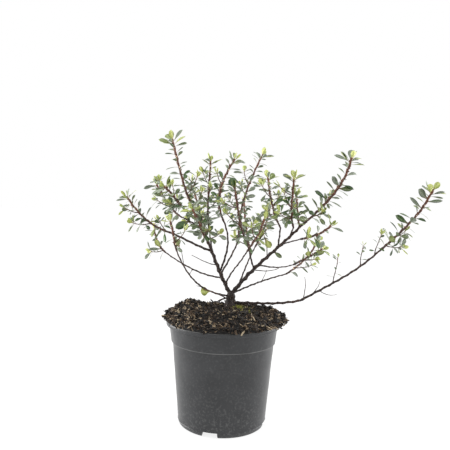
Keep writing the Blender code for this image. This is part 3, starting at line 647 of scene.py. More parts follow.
def chip_places(sort):
    """Chips of one sort over the whole heap, apart from a bare ring round the trunk."""
    rng = random.Random(sort.seed)
    places = []
    while len(places) < sort.count:
        turn = rng.uniform(0, math.tau)
        radius = (SOIL_REACH + 0.0010) * math.sqrt(rng.random())
        x = radius * math.cos(turn)
        y = radius * math.sin(turn)
        if math.hypot(x - TRUNK_PLACE.x, y - TRUNK_PLACE.y) < BARE_BY_TRUNK:
            continue
        length = rng.uniform(*sort.lengths) * rng.uniform(0.7, 1.0)
        size = (length, rng.uniform(*sort.widths), rng.uniform(*sort.thicknesses))
        lift = rng.uniform(-0.2, 0.9) * size[2]
        point = (x, y, mound_height(x, y) + lift)
        facing = on_heap(x, y, sort.lean, rng)
        places.append(Place(point, facing, size, rng.random(), rng.randrange(CHIP_FORMS)))
    return places


def lip_places():
    """Chips along the lip: those at the right hang over it, and the rest lie just inside it."""
    rng = random.Random(LIP_CHIPS.seed)
    places = []
    for _ in range(LIP_CHIPS.count):
        spilling = rng.random() < SPILLING_SHARE
        turn = rng.gauss(0.0, 0.50) if spilling else rng.uniform(0, math.tau)
        over = rng.uniform(*(SPILLING_REACH if spilling else RESTING_REACH))
        radius = RIM_RADIUS + over
        height = POT_HEIGHT + 0.0010 + rng.uniform(0.0, 0.0075) - 0.1 * max(0.0, over)
        point = (radius * math.cos(turn), radius * math.sin(turn), height)
        facing = Matrix.Rotation(turn + rng.gauss(0, 0.9), 3, "Z")
        facing = facing @ Matrix.Rotation(rng.gauss(0.15, LIP_CHIPS.lean), 3, "Y")
        ranges = (LIP_CHIPS.lengths, LIP_CHIPS.widths, LIP_CHIPS.thicknesses)
        size = tuple(rng.uniform(*limits) for limits in ranges)
        places.append(Place(point, facing.to_euler(), size, rng.random(), rng.randrange(CHIP_FORMS)))
    return places


def moss_shape(seed):
    """A tuft of moss, one unit tall: a small star of pointed blades."""
    rng = random.Random(seed)
    bm = bmesh.new()
    for i in range(6):
        turn = math.tau * i / 6 + rng.uniform(-0.3, 0.3)
        out = Vector((math.cos(turn), math.sin(turn), 0.0))
        side = Vector((-out.y, out.x, 0.0)) * 0.16
        tip = out * rng.uniform(0.35, 0.75) + Vector((0, 0, rng.uniform(0.6, 1.0)))
        foot = out * 0.05
        corners = [bm.verts.new(point) for point in (foot - side, foot + side, tip, foot - out * 0.12)]
        for face in ((0, 1, 2), (1, 3, 2), (3, 0, 2), (0, 3, 1)):
            bm.faces.new([corners[k] for k in face])
    bmesh.ops.recalc_face_normals(bm, faces=bm.faces)
    mesh = bpy.data.meshes.new("moss")
    bm.to_mesh(mesh)
    bm.free()
    return mesh


def moss_places():
    """Moss in a cushion at the front right of the trunk and one patch further right."""
    rng = random.Random(21)
    places = []
    for _ in range(MOSS_TUFTS):
        right, far, spread = MOSS_CUSHION if rng.random() < MOSS_CUSHION_SHARE else MOSS_PATCH
        x = right + rng.gauss(0, spread)
        y = far + rng.gauss(0, spread)
        point = (x, y, mound_height(x, y) + 0.0006)
        tall = rng.uniform(0.0016, 0.0034)
        turn = (rng.gauss(0, 0.3), rng.gauss(0, 0.3), rng.uniform(0, math.tau))
        places.append(Place(point, turn, (tall, tall, tall), rng.random(), 0))
    return places


# Damp peat is nearly black and swallows light. Shredded bark runs from black through brown to the
# pale buff of freshly split wood, with a grain of 1 to 2 mm. Moss is yellow-green and soft.
PEAT_STOPS = ((0.0, "#080605"), (0.5, "#130E0B"), (1.0, "#241A14"))
BARK_STOPS = ((0.10, "#0B0705"), (0.46, "#1B130D"), (0.74, "#35271A"), (0.90, "#5E4B37"), (1.00, "#A99A80"))
MOSS_STOPS = ((0.0, "#4A5420"), (0.6, "#8A8B3C"), (1.0, "#B9B55E"))
crumb = tinted("peat_crumb", PEAT_STOPS, roughness=0.95, grain_scale=420.0, bump_strength=0.6)
shredded_bark = tinted("shredded_bark", BARK_STOPS, roughness=0.85, grain_scale=700.0, bump_strength=0.35)
moss_green = tinted("cushion_moss", MOSS_STOPS, roughness=0.9, grain_scale=500.0, bump_strength=0.1)
compost_mound = show("compost_mound", mound(), crumb)
chip_stock = [chip_shape(seed, 0.35 + 0.1 * (seed % 4)) for seed in range(CHIP_FORMS)]
chips = chip_places(CHIPS) + chip_places(BIG_CHIPS) + lip_places()
bark_chips = scatter("bark_chips", chips, chip_stock, shredded_bark)
fibres = [place._replace(tint=0.45 + 0.55 * place.tint) for place in chip_places(FIBRES)]
fibre_stock = [chip_shape(40 + seed, 0.2) for seed in range(CHIP_FORMS)]
bark_fibres = scatter("bark_fibres", fibres, fibre_stock, shredded_bark)
moss = scatter("moss", moss_places(), [moss_shape(2)], moss_green)
for piece in (compost_mound, bark_chips, bark_fibres, moss):
    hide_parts("compost")
    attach(piece, "root")

# Trunk and boughs: old wood under thin rough bark, near black and knobby low down and red-brown
# towards the young growth, with scars where leaves have dropped and short dead spurs. The trunk
# flares at its root and divides just above the compost.
SOIL_GAP = 0.0003
TRUNK_FOOT = TRUNK_PLACE + Vector((0.0, 0.0, SOIL_GAP))
TRUNK_FORK = Vector((0.0095, 0.0090, 0.1960))

# The trunk's radius at shares of its height, from under the compost's crumb to the fork
TRUNK_GIRTH = (
    (-0.12, 0.0112),
    (0.00, 0.0100),
    (0.10, 0.0083),
    (0.28, 0.0071),
    (0.50, 0.0066),
    (0.72, 0.0066),
    (0.88, 0.0056),
    (1.00, 0.0030),
)
TRUNK_RINGS = 26
TRUNK_SIDES = 28
FLARE_LOBES = 5
FLARE_DEPTH = 0.16
FLARE_TOP = 0.30
SWAY = 0.011
SCAR_STEP = 0.0075
SCAR_SPREAD = 0.16
SCAR_SWELL = 0.26
ZIGZAG = 0.22

# Bark relief, as noise scales per metre: fissures 2 to 3 mm apart that run up the stem, and knots
# about 6 mm apart
FISSURE_SCALES = (420, 420, 150)
KNOT_SCALE = 170
TRUNK_RELIEF = 0.24
BOUGH_RELIEF = 0.14
TWIG_RELIEF = 0.10

# A limb, in millimetres: where it leaves its bearer, where its tip is, how far its middle bows out
# of the straight, and its radius at each end
Limb = namedtuple("Limb", "name bearer share tip bow foot_radius tip_radius")

LIMBS = (
    Limb("left_main_bough", "trunk", 0.72, (-41, 1, 303), (-1, 2, 0), 3.2, 1.8),
    Limb("right_main_bough", "trunk", 0.74, (110, -18, 300), (-1, 3, 2), 3.2, 1.8),
    Limb("low_bough", "trunk", 0.27, (111, -8, 187), (0, 0, -3), 2.0, 1.8),
    Limb("low_bough_rise", "low_bough", 1.00, (222, -22, 266), (2, -1, -4), 1.8, 1.4),
    Limb("back_right_bough", "trunk", 0.78, (98, 80, 212), (-1, 1, 2), 1.5, 1.1),
    Limb("front_left_bough", "trunk", 0.66, (-66, -70, 263), (-11, -2, -12), 1.4, 1.0),
    Limb("back_left_bough", "left_main_bough", 0.23, (-95, 68, 244), (-1, 2, -7), 1.4, 1.0),
    Limb("left_side_bough", "left_main_bough", 0.58, (-78, -11, 282), (0, 0, -1), 1.8, 1.4),
    Limb("left_back_branch", "left_main_bough", 0.88, (-70, 24, 305), (0, 0, 0), 1.4, 1.1),
    Limb("left_front_branch", "left_main_bough", 0.96, (-62, -27, 320), (0, 0, -1), 1.3, 1.0),
    Limb("upper_left_branch", "left_main_bough", 0.55, (-26, 22, 288), (0, 1, 0), 1.4, 1.1),
    Limb("centre_branch", "left_main_bough", 0.31, (-3, -14, 300), (8, -1, 0), 1.6, 1.2),
    Limb("centre_back_branch", "left_main_bough", 0.28, (20, 37, 271), (1, 0, -1), 1.5, 1.2),
    Limb("centre_front_branch", "right_main_bough", 0.35, (28, -34, 278), (0, 0, 0), 1.4, 1.0),
    Limb("right_front_branch", "left_main_bough", 0.14, (30, -44, 262), (-1, 0, 1), 1.3, 1.0),
    Limb("right_back_branch", "right_main_bough", 0.12, (47, 70, 256), (-1, 0, 0), 1.3, 1.0),
    Limb("right_inner_branch", "right_main_bough", 0.67, (81, 12, 292), (0, 0, 0), 1.4, 1.2),
    Limb("right_outer_branch", "right_main_bough", 0.83, (96, -24, 296), (0, 0, 0), 1.3, 1.1),
    Limb("right_side_branch", "right_main_bough", 0.69, (105, -34, 280), (0, 0, 1), 1.2, 0.9),
    Limb("right_under_branch", "right_main_bough", 0.41, (104, 28, 235), (0, 0, -4), 1.2, 0.9),
)

# Thin bare twigs that the solids leave out, as finer limbs
FINE_TWIGS = (
    Limb("inner_left_twig", "left_main_bough", 0.40, (-50, 4, 249), (2, 0, -3), 0.8, 0.4),
    Limb("lower_left_twig", "back_left_bough", 0.48, (-54, 30, 216), (0, 0, 2), 0.7, 0.35),
    Limb("upper_lower_left_twig", "back_left_bough", 0.66, (-72, 48, 256), (1, 0, 2), 0.6, 0.35),
    Limb("under_right_twig", "right_main_bough", 0.34, (80, 6, 232), (0, 0, -3), 0.8, 0.4),
    Limb("inner_right_twig", "right_main_bough", 0.52, (52, 10, 290), (4, 2, -2), 0.8, 0.4),
    Limb("knob_spur", "low_bough_rise", 0.04, (117, -6, 222), (2, 0, 1), 0.7, 0.3),
    Limb("forked_spur", "low_bough_rise", 0.13, (139, -10, 217), (2, 0, -1), 0.7, 0.3),
    Limb("hanging_spur", "low_bough_rise", 0.24, (164, -12, 198), (-2, 0, -3), 0.6, 0.3),
    Limb("left_spur", "front_left_bough", 0.34, (-41, -24, 208), (0, 0, 1), 0.6, 0.3),
    Limb("hanging_bud", "trunk", 0.52, (-9, 0, 181), (2, 0, 3), 0.7, 1.6),
    Limb("back_spur", "back_right_bough", 0.55, (66, 58, 222), (0, 0, -2), 0.6, 0.3),
)


def bowed(start, tip, bow):
    """A middle line as a function of the share of its length: a bow with a slight sway."""
    reach = tip - start
    sway = reach.cross(Vector((0.4, 0.6, 0.7))) * SWAY

    def line(share):
        rise = 4 * share * (1 - share)
        return start + reach * share + bow * rise + sway * math.sin(math.tau * share)

    return line


def trunk_line(share):
    """The trunk's middle line, from the compost to the fork."""
    return TRUNK_FOOT.lerp(TRUNK_FORK, share)


class Stem:
    """A middle line with its taper, as limbs, shoots and twigs share it."""

    def __init__(self, line, foot_radius, tip_radius):
        self.line = line
        self.foot_radius = foot_radius
        self.tip_radius = tip_radius
        ends = [line(i / 16) for i in range(17)]
        self.length = sum((b - a).length for a, b in zip(ends, ends[1:]))

    def heading(self, share):
        """The way that the stem runs there."""
        low = max(0.0, share - 0.02)
        high = min(1.0, share + 0.02)
        return (self.line(high) - self.line(low)).normalized()

    def radius(self, share):
        """The stem's radius there, tapering evenly."""
        return self.foot_radius + (self.tip_radius - self.foot_radius) * share

    def cloud(self):
        """Points on the middle line with the radius at each, for distance tests."""
        count = max(3, math.ceil(self.length / 0.003))
        return np.array([(*self.line(i / count), self.radius(i / count)) for i in range(count + 1)])


def grow(stems, limbs):
    """The stem of every limb and shoot, each started on its bearer."""
    for limb in limbs:
        start = stems[limb.bearer].line(limb.share)
        line = bowed(start, Vector(limb.tip) / 1000, Vector(limb.bow) / 1000)
        stems[limb.name] = Stem(line, limb.foot_radius / 1000, limb.tip_radius / 1000)
    return stems


def square_to(heading):
    """A unit vector square to the heading."""
    side = heading.cross(Vector((0.0, 1.0, 0.0)))
    if side.length < 0.2:
        side = heading.cross(Vector((1.0, 0.0, 0.0)))
    return side.normalized()


class Woodpile:
    """Gathers bark tubes into one mesh, with each point's age: 1 on old thick wood, 0 on green shoots."""

    def __init__(self):
        self.points = []
        self.faces = []
        self.ages = []

    def tube(self, middles, radii, sides, ages, relief, lobes=None):
        """A closed tube whose rings follow the middles, roughened by bark relief."""
        first = len(self.points)
        heading = (middles[1] - middles[0]).normalized()
        side = square_to(heading)
        for i, (middle, radius, age) in enumerate(zip(middles, radii, ages)):
            if 0 < i < len(middles) - 1:
                heading = (middles[i + 1] - middles[i - 1]).normalized()
            side = (side - heading * side.dot(heading)).normalized()
            other = heading.cross(side)
            for k in range(sides):
                turn = math.tau * k / sides
                out = side * math.cos(turn) + other * math.sin(turn)
                spot = middle + out * radius
                fissure = noise.noise(Vector([place * scale for place, scale in zip(spot, FISSURE_SCALES)]))
                knot = noise.noise(spot * KNOT_SCALE)
                reach = radius * (1 + relief * (fissure + 0.8 * knot))
                if lobes:
                    reach *= lobes(i, turn)
                self.points.append(middle + out * reach)
                self.ages.append(age)
        for i in range(len(middles) - 1):
            for k in range(sides):
                j = (k + 1) % sides
                a = first + i * sides
                b = a + sides
                self.faces.append((a + k, a + j, b + j, b + k))
        self.faces.append([first + k for k in reversed(range(sides))])
        last = first + (len(middles) - 1) * sides
        self.faces.append([last + k for k in range(sides)])

    def stem(self, stem, sides, spacing, relief, old, young):
        """A stem as a tube with a swelling at each leaf scar, zigzagging a little from scar to scar."""
        count = max(4, math.ceil(stem.length / spacing))
        middles = []
        radii = []
        ages = []
        for i in range(count + 1):
            share = i / count
            scars = share * stem.length / SCAR_STEP
            swell = math.exp(-(((scars % 1.0) - 0.5) / SCAR_SPREAD) ** 2)
            swing = math.sin(math.pi * scars) * min(1.0, 6 * share)
            across = stem.heading(share).cross(Vector((0.3, -0.8, 0.5))).normalized()
            middles.append(stem.line(share) + across * (ZIGZAG * stem.radius(share) * swing))
            radii.append(stem.radius(share) * (0.92 + SCAR_SWELL * swell))
            ages.append(old + (young - old) * share)
        self.tube(middles, radii, sides, ages, relief)

    def mesh(self, name):
        """The gathered tubes as one mesh, with the ages as its tint."""
        mesh = bpy.data.meshes.new(name)
        mesh.from_pydata([tuple(point) for point in self.points], [], self.faces)
        mesh.attributes.new("tint", "FLOAT", "POINT").data.foreach_set("value", self.ages)
        mesh.shade_smooth()
        return mesh


FLECK_SCALE = 820.0


def bark(name, stops, roughness, grain_scale):
    """Thin bark whose colour goes by the wood's age, with fine cracks and pale flecks."""
    material = tinted(name, stops, roughness, grain_scale, 0.5)
    tree = material.node_tree
    shader = tree.nodes["Principled BSDF"]
    body = shader.inputs["Base Color"].links[0].from_socket
    place = add(tree, "ShaderNodeTexCoord").outputs["Object"]
    fleck = add(tree, "ShaderNodeTexNoise", {"Vector": place, "Scale": FLECK_SCALE, "Detail": 1.0})
    fleck = fleck.outputs["Fac"]
    amount = add(tree, "ShaderNodeMapRange", {"Value": fleck, "From Min": 0.66, "From Max": 0.74})
    mixed = add(tree, "ShaderNodeMix", {"Factor": amount.outputs[0], "A": body}, data_type="RGBA")
    mixed.inputs["B"].default_value = linear("#A58F7C")
    tree.links.new(mixed.outputs["Result"], shader.inputs["Base Color"])
    return material


def root_flare(levels):
    """How far the trunk's lobes stand out, by ring and turn."""

    def reach(ring, turn):
        low = levels[ring]
        lobe = math.cos(FLARE_LOBES * turn + 0.9) * max(0.0, 1 - low / FLARE_TOP)
        return 1 + FLARE_DEPTH * lobe + 0.05 * math.cos(3 * turn + 7 * low)

    return reach


def trunk_levels(count):
    """Shares up the trunk with the radius at each, read from its girths."""
    levels = []
    for i in range(count + 1):
        share = TRUNK_GIRTH[0][0] + (1 - TRUNK_GIRTH[0][0]) * i / count
        for (low, start), (high, end) in zip(TRUNK_GIRTH, TRUNK_GIRTH[1:]):
            if share <= high:
                levels.append((share, start + (end - start) * (share - low) / (high - low)))
                break
    return levels


# Old bark is dull, from the red-brown of the last years' wood to near black at the trunk, with
# cracks 2 to 3 mm apart and pale flecks about 1 mm across
OLD_WOOD_STOPS = ((0.0, "#6A3A2B"), (0.35, "#472A20"), (0.70, "#2C1E19"), (1.0, "#1D1614"))
old_bark = bark("old_escallonia_bark", OLD_WOOD_STOPS, roughness=0.8, grain_scale=380.0)
stems = grow({"trunk": Stem(trunk_line, TRUNK_GIRTH[1][1], TRUNK_GIRTH[-1][1])}, LIMBS)
timber = Woodpile()
levels = trunk_levels(TRUNK_RINGS)
timber.tube(
    [trunk_line(share) for share, _ in levels],
    [radius for _, radius in levels],
    TRUNK_SIDES,
    [0.95] * len(levels),
    TRUNK_RELIEF,
    root_flare([share for share, _ in levels]),
)
for limb in LIMBS:
    sides, spacing = (12, 0.0012) if limb.foot_radius > 2.5 else (8, 0.0015)
    old = 0.95 if limb.bearer == "trunk" else 0.85
    timber.stem(stems[limb.name], sides, spacing, BOUGH_RELIEF, old, young=0.60)
boughs = show("boughs", timber.mesh("boughs"), old_bark)
fine = Woodpile()
grow(stems, FINE_TWIGS)
for twig in FINE_TWIGS:
    fine.stem(stems[twig.name], sides=6, spacing=0.0020, relief=TWIG_RELIEF, old=0.9, young=0.55)
fine_twigs = show("fine_twigs", fine.mesh("fine_twigs"), old_bark)
for piece in (boughs, fine_twigs):
    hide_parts("trunk", *[limb.name for limb in LIMBS])
    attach(piece, "root")

# Shoots and leaves: each shoot climbs from a bough's tip or side and carries small waxy evergreen
# leaves in a spiral, with side twigs low down and a rosette at its end. A leaf is a spoon-shaped
# blade on a pale narrow foot: yellow-green when young, then deep green, and some show grey backs.

# A shoot is a limb with a size for its leaves and a number of side twigs
Shoot = namedtuple("Shoot", Limb._fields + ("leaf_size", "twigs"))

SHOOTS = (
    Shoot("foliage_left_top", "left_main_bough", 1.0, (-80, -14, 417), (-4, 0, -1), 1.7, 0.8, 1.0, 3),
    Shoot("foliage_right_top", "right_main_bough", 1.0, (169, -54, 395), (8, -2, -5), 1.7, 0.8, 1.05, 2),
    Shoot("foliage_low_tip", "low_bough_rise", 1.0, (289, -35, 355), (5, 0, -4), 1.4, 0.8, 1.0, 2),
    Shoot("foliage_back_right", "back_right_bough", 1.0, (154, 112, 265), (4, 2, -5), 1.0, 0.7, 1.0, 1),
    Shoot("foliage_front_left", "front_left_bough", 1.0, (-74, -82, 304), (0, -2, 0), 1.0, 0.7, 0.9, 1),
    Shoot("foliage_back_left", "back_left_bough", 1.0, (-115, 78, 279), (-3, 0, -3), 1.0, 0.7, 0.95, 1),
    Shoot("foliage_left_side", "left_side_bough", 1.0, (-142, -26, 334), (-5, -3, -6), 1.3, 0.7, 0.95, 2),
    Shoot("foliage_left_back", "left_back_branch", 1.0, (-110, 60, 352), (-2, 4, -4), 1.1, 0.7, 1.0, 2),
    Shoot("foliage_left_front", "left_front_branch", 1.0, (-86, -56, 350), (1, -1, 0), 1.0, 0.7, 0.95, 1),
    Shoot("foliage_upper_left", "upper_left_branch", 1.0, (-26, 45, 390), (-2, 3, -1), 1.1, 0.7, 1.0, 3),
    Shoot("foliage_centre", "centre_branch", 1.0, (10, -42, 390), (-13, -1, 1), 1.1, 0.7, 0.95, 2),
    Shoot("foliage_centre_back", "centre_back_branch", 1.0, (55, 68, 402), (-9, 5, 1), 1.2, 0.7, 1.0, 3),
    Shoot("foliage_centre_front", "centre_front_branch", 1.0, (10, -73, 350), (-2, -2, -2), 1.0, 0.7, 0.9, 2),
    Shoot("foliage_right_front", "right_front_branch", 1.0, (50, -82, 310), (1, -3, -3), 1.0, 0.7, 0.9, 1),
    Shoot("foliage_right_back", "right_back_branch", 1.0, (72, 106, 322), (3, 5, -4), 1.0, 0.7, 1.0, 2),
    Shoot("foliage_right_inner", "right_inner_branch", 1.0, (62, 39, 366), (-3, 3, -1), 1.1, 0.7, 1.0, 2),
    Shoot("foliage_right_outer", "right_outer_branch", 1.0, (92, -47, 365), (-3, -2, -1), 1.0, 0.7, 1.0, 2),
    Shoot("foliage_right_side", "right_side_branch", 1.0, (143, -60, 302), (1, -2, -3), 0.9, 0.7, 0.95, 1),
    Shoot("foliage_right_under", "right_under_branch", 1.0, (150, 46, 258), (0, 1, -1), 0.9, 0.7, 0.95, 1),
    Shoot("foliage_right_crown", "right_main_bough", 0.96, (105, 27, 340), (0, 4, -3), 1.0, 0.7, 1.0, 1),
    Shoot("foliage_crown_back", "left_main_bough", 0.80, (-53, 80, 343), (3, 4, -6), 1.1, 0.7, 1.0, 2),
    Shoot("foliage_crown_front", "left_main_bough", 0.70, (-46, -74, 321), (2, -4, -5), 1.1, 0.7, 0.9, 2),
    Shoot("foliage_far_back", "right_back_branch", 0.80, (29, 112, 326), (-2, 3, -3), 1.0, 0.7, 1.0, 2),
    Shoot("foliage_low_inner", "low_bough_rise", 0.40, (160, -30, 255), (0, -1, -1), 0.8, 0.5, 0.58, 0),
    Shoot("foliage_low_back", "low_bough_rise", 0.74, (200, -12, 271), (-1, 1, 0), 0.8, 0.5, 0.62, 0),
    Shoot("foliage_low_front", "low_bough_rise", 0.92, (219, -34, 289), (-1, -1, 0), 0.8, 0.5, 0.70, 0),
    Shoot("foliage_foot", "trunk", 0.40, (-30, -22, 203), (-1, -2, 2), 0.9, 0.6, 0.62, 0),
)

# A grown leaf's length at the shoot's foot, and how far apart leaves stand along it. A blade's own
# sizes are shares of its length. Form 4 is the round blade, and the forms before it are narrow
LEAF_LENGTH = 0.0172
LEAF_STEP = 0.0033
LEAF_ROWS = 8
LEAF_FOOT_SHARE = 0.08
LEAF_THICKNESS = 0.012

# Degrees that a leaf leans out at the shoot's foot, what that loses by the tip, and its spread. Its
# roll about its own length is in radians
LEAF_LEAN = 78
LEAN_LOST = 24
LEAN_SPREAD = 9
LEAF_ROLL = 0.38
LEAF_DROOP = 0.10
ROUND_WIDTH = 0.52
ROUND_FORM = 4
ROSETTE_LEAVES = 8
SPARSE_ROSETTE_LEAVES = 5
SMALL_ROSETTE_LEAVES = 3
TWIG_ROSETTE_LEAVES = 4
ROSETTE_LENGTH = 0.0205
ROSETTE_INNER_LEAN = (14, 34)
ROSETTE_OUTER_LEAN = (42, 68)
GOLDEN_TURN = math.radians(137.5)
OVERHANG = 0.010
LIMB_CLEARANCE = 0.0009
SHOOT_GIRTH = 2.15
BUD_STEP = 0.0022
BUD_LENGTH = (0.0022, 0.0044)
BUD_FORMS = 3
TWIG_REACH = (0.016, 0.030)
TWIG_LEAN = (38, 58)
TWIG_FOOT_RADIUS = 0.0008
TWIG_TIP_RADIUS = 0.0005
TWIG_LEAF_SHARE = 0.88
TALL_LEAF_SHARE = 1.14
SPARSE_STEP_SHARE = 2.2
TALL_SHOOTS = ("foliage_left_top", "foliage_right_top", "foliage_low_tip")
SPARSE_SHOOTS = (
    "foliage_front_left",
    "foliage_back_left",
    "foliage_back_right",
    "foliage_right_front",
    "foliage_right_side",
    "foliage_right_under",
    "foliage_far_back",
)

# Kinds of leaf, and the odds of those that stand along a shoot
KINDS = ("young", "fresh", "mature", "grey", "dark")
GROWN_KINDS = KINDS[1:]
GROWN_ODDS = (0.07, 0.36, 0.34, 0.23)

# Single leaves that stand out: the stem that each grows on and where along it, where its tip is in
# millimetres, its width as a share of its length, and its kind
Single = namedtuple("Single", "bearer share tip width kind")

SINGLE_LEAVES = (
    Single("left_back_branch", 0.58, (-75, 12, 287), 0.50, "dark"),
    Single("upper_lower_left_twig", 1.0, (-78, 45, 268), 0.90, "fresh"),
    Single("foliage_back_left", 0.27, (-113, 68, 264), 0.50, "young"),
    Single("foliage_back_left", 0.22, (-122, 68, 248), 0.25, "grey"),
    Single("foliage_centre_front", 1.0, (4, -76, 364), 0.80, "dark"),
    Single("foliage_centre_back", 0.49, (45, 54, 337), 0.36, "grey"),
    Single("foliage_right_back", 0.19, (58, 77, 285), 0.50, "young"),
    Single("inner_right_twig", 0.69, (66, 5, 262), 0.65, "young"),
    Single("right_main_bough", 0.61, (82, -7, 249), 0.42, "mature"),
    Single("foliage_right_under", 0.52, (126, 35, 256), 0.90, "young"),
    Single("foliage_right_under", 0.61, (153, 37, 255), 0.33, "fresh"),
    Single("foliage_low_tip", 0.86, (266, -36, 354), 0.52, "grey"),
    Single("foliage_low_tip", 0.83, (302, -36, 338), 0.24, "grey"),
    Single("foliage_low_tip", 0.26, (232, -29, 280), 0.85, "fresh"),
    Single("foliage_low_tip", 0.73, (255, -34, 342), 0.24, "grey"),
    Single("foliage_low_tip", 0.48, (237, -31, 316), 0.34, "dark"),
    Single("foliage_right_top", 0.61, (173, -45, 351), 0.40, "mature"),
    Single("foliage_right_top", 0.63, (143, -46, 369), 0.42, "grey"),
    Single("foliage_foot", 0.77, (-35, -20, 199), 0.95, "young"),
)
TOWARDS_VIEWER = Vector((0.1, -1.0, 0.35))


def turned_about(vector, axis, angle):
    """The vector turned about a unit axis."""
    across = axis.cross(vector)
    along = axis * axis.dot(vector)
    return along + (vector - along) * math.cos(angle) + across * math.sin(angle)


def outward(heading, turn):
    """A unit vector square to the heading, at this turn round it."""
    return turned_about(square_to(heading), heading, turn)


def blade(width_share, widest, arch, fold, foot=0.10):
    """A leaf one unit long along +X: a narrow foot, widest beyond its middle, arched and folded.

    Its upper and lower skins share their edge. Each point keeps how far across and along it is."""
    points = []
    along = []
    for row in range(LEAF_ROWS + 1):
        share = row / LEAF_ROWS
        if share < widest:
            spread = max(0.0, share - LEAF_FOOT_SHARE) / (widest - LEAF_FOOT_SHARE)
            half = foot + (1 - foot) * (0.5 - 0.5 * math.cos(math.pi * spread))
        else:
            half = math.sqrt(max(0.0, 1 - ((share - widest) / (1 - widest)) ** 2))
        half = max(half, 0.06) * width_share / 2
        drop = -arch * share**2
        lift = fold * half
        edge = drop + lift * 0.5
        crease = drop - lift * 0.5
        thick = LEAF_THICKNESS * (1 - 0.6 * share)
        points += [
            (share, -half, edge),
            (share, 0.0, crease + thick),
            (share, half, edge),
            (share, 0.0, crease - thick),
        ]
        along += [share] * 4
    across = [1.0, 0.0] * (len(points) // 2)
    faces = []
    for row in range(LEAF_ROWS):
        a = 4 * row
        b = a + 4
        for i in range(4):
            j = (i + 1) % 4
            faces.append((a + i, b + i, b + j, a + j))
    faces.append((0, 1, 2, 3))
    faces.append(tuple(4 * LEAF_ROWS + i for i in (3, 2, 1, 0)))
    mesh = bpy.data.meshes.new("blade")
    mesh.from_pydata(points, [], faces)
    bm = bmesh.new()
    bm.from_mesh(mesh)
    bmesh.ops.recalc_face_normals(bm, faces=bm.faces)
    bm.to_mesh(mesh)
    bm.free()
    mesh.attributes.new("across", "FLOAT", "POINT").data.foreach_set("value", across)
    mesh.attributes.new("along", "FLOAT", "POINT").data.foreach_set("value", along)
    mesh.shade_smooth()
    return mesh


# A leaf's wax gives it a soft sheen over a mottle with spots about 4 mm across. Its foot and midrib
# are paler than the blade
MOTTLE_SCALE = 260.0


def waxy_leaf(name, light, dark, foot, rib, roughness):
    """A small evergreen leaf: its colour goes by the leaf's own tint, paler at the foot and the midrib."""
    material = bpy.data.materials.new(name)
    material.use_nodes = True
    tree = material.node_tree
    shader = tree.nodes["Principled BSDF"]
    place = add(tree, "ShaderNodeTexCoord").outputs["Object"]
    tint = add(tree, "ShaderNodeAttribute", attribute_name="tint").outputs["Fac"]
    mottle = add(tree, "ShaderNodeTexNoise", {"Vector": place, "Scale": MOTTLE_SCALE, "Detail": 3.0})
    mottle = mottle.outputs["Fac"]
    shade = add(tree, "ShaderNodeMath", {0: mottle, 1: 0.5, 2: -0.25}, operation="MULTIPLY_ADD").outputs[0]
    shade = add(tree, "ShaderNodeMath", {0: tint, 1: shade}, operation="ADD", use_clamp=True).outputs[0]
    body = add(tree, "ShaderNodeMix", {"Factor": shade}, data_type="RGBA")
    body.inputs["A"].default_value = linear(dark)
    body.inputs["B"].default_value = linear(light)
    colour = body.outputs["Result"]
    pale_parts = (("across", 0.0, 0.22, 0.55, rib), ("along", 0.10, 0.36, 0.85, foot))
    for field, strongest, gone, strength, paler in pale_parts:
        spot = add(tree, "ShaderNodeAttribute", attribute_name=field).outputs["Fac"]
        fade = {"Value": spot, "From Min": strongest, "From Max": gone, "To Min": strength, "To Max": 0.0}
        amount = add(tree, "ShaderNodeMapRange", fade).outputs[0]
        mixed = add(tree, "ShaderNodeMix", {"Factor": amount}, data_type="RGBA")
        tree.links.new(colour, mixed.inputs["A"])
        mixed.inputs["B"].default_value = linear(paler)
        colour = mixed.outputs["Result"]
    tree.links.new(colour, shader.inputs["Base Color"])
    shader.inputs["Roughness"].default_value = roughness
    return material


def inside(points):
    """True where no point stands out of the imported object's box by more than the overhang."""
    low = np.array(cad_box[0]) - OVERHANG
    high = np.array(cad_box[1]) + OVERHANG
    return bool(((points > low) & (points < high)).all())


def clear_of(points, cloud):
    """True where the points stay clear of every limb."""
    apart = np.linalg.norm(points[:, None, :] - cloud[None, :, :3], axis=2) - cloud[None, :, 3]
    return apart.min() > LIMB_CLEARANCE


def leaf_orders(stem, first_share, size, rosette, step, rng):
    """The leaves that a stem asks for: share, turn, lean, length, kind and form."""
    orders = []
    count = max(3, round(stem.length * (1 - first_share) / (step * (0.4 + 0.6 * size))))
    turn = rng.uniform(0, math.tau)
    for i in range(count):
        share = first_share + (0.96 - first_share) * (i + 0.5 + rng.uniform(-0.3, 0.3)) / count
        lean = math.radians(LEAF_LEAN - LEAN_LOST * share + rng.gauss(0, LEAN_SPREAD))
        length = LEAF_LENGTH * size * (1.10 - 0.26 * share) * rng.uniform(0.72, 1.16)
        fresh = rng.random() < (share - 0.70) * 0.9
        kind = "fresh" if fresh else rng.choices(GROWN_KINDS, GROWN_ODDS)[0]
        orders.append((share, turn, lean, length, kind, rng.randrange(ROUND_FORM)))
        turn += GOLDEN_TURN + rng.gauss(0, 0.15)
    for i in range(rosette):
        inner = i < max(2, rosette // 3)
        lean = math.radians(rng.uniform(*(ROSETTE_INNER_LEAN if inner else ROSETTE_OUTER_LEAN)))
        length = ROSETTE_LENGTH * size * (0.60 if inner else 0.92) * rng.uniform(0.85, 1.12)
        kind = "young" if inner or rng.random() < 0.15 else rng.choice(("fresh", "grey", "grey"))
        share = 0.99 if inner else rng.uniform(0.93, 0.98)
        form = ROUND_FORM if inner else rng.randrange(ROUND_FORM)
        orders.append((share, turn, lean, length, kind, form))
        turn += math.tau / 3 + rng.uniform(0.0, 0.4)
    return orders


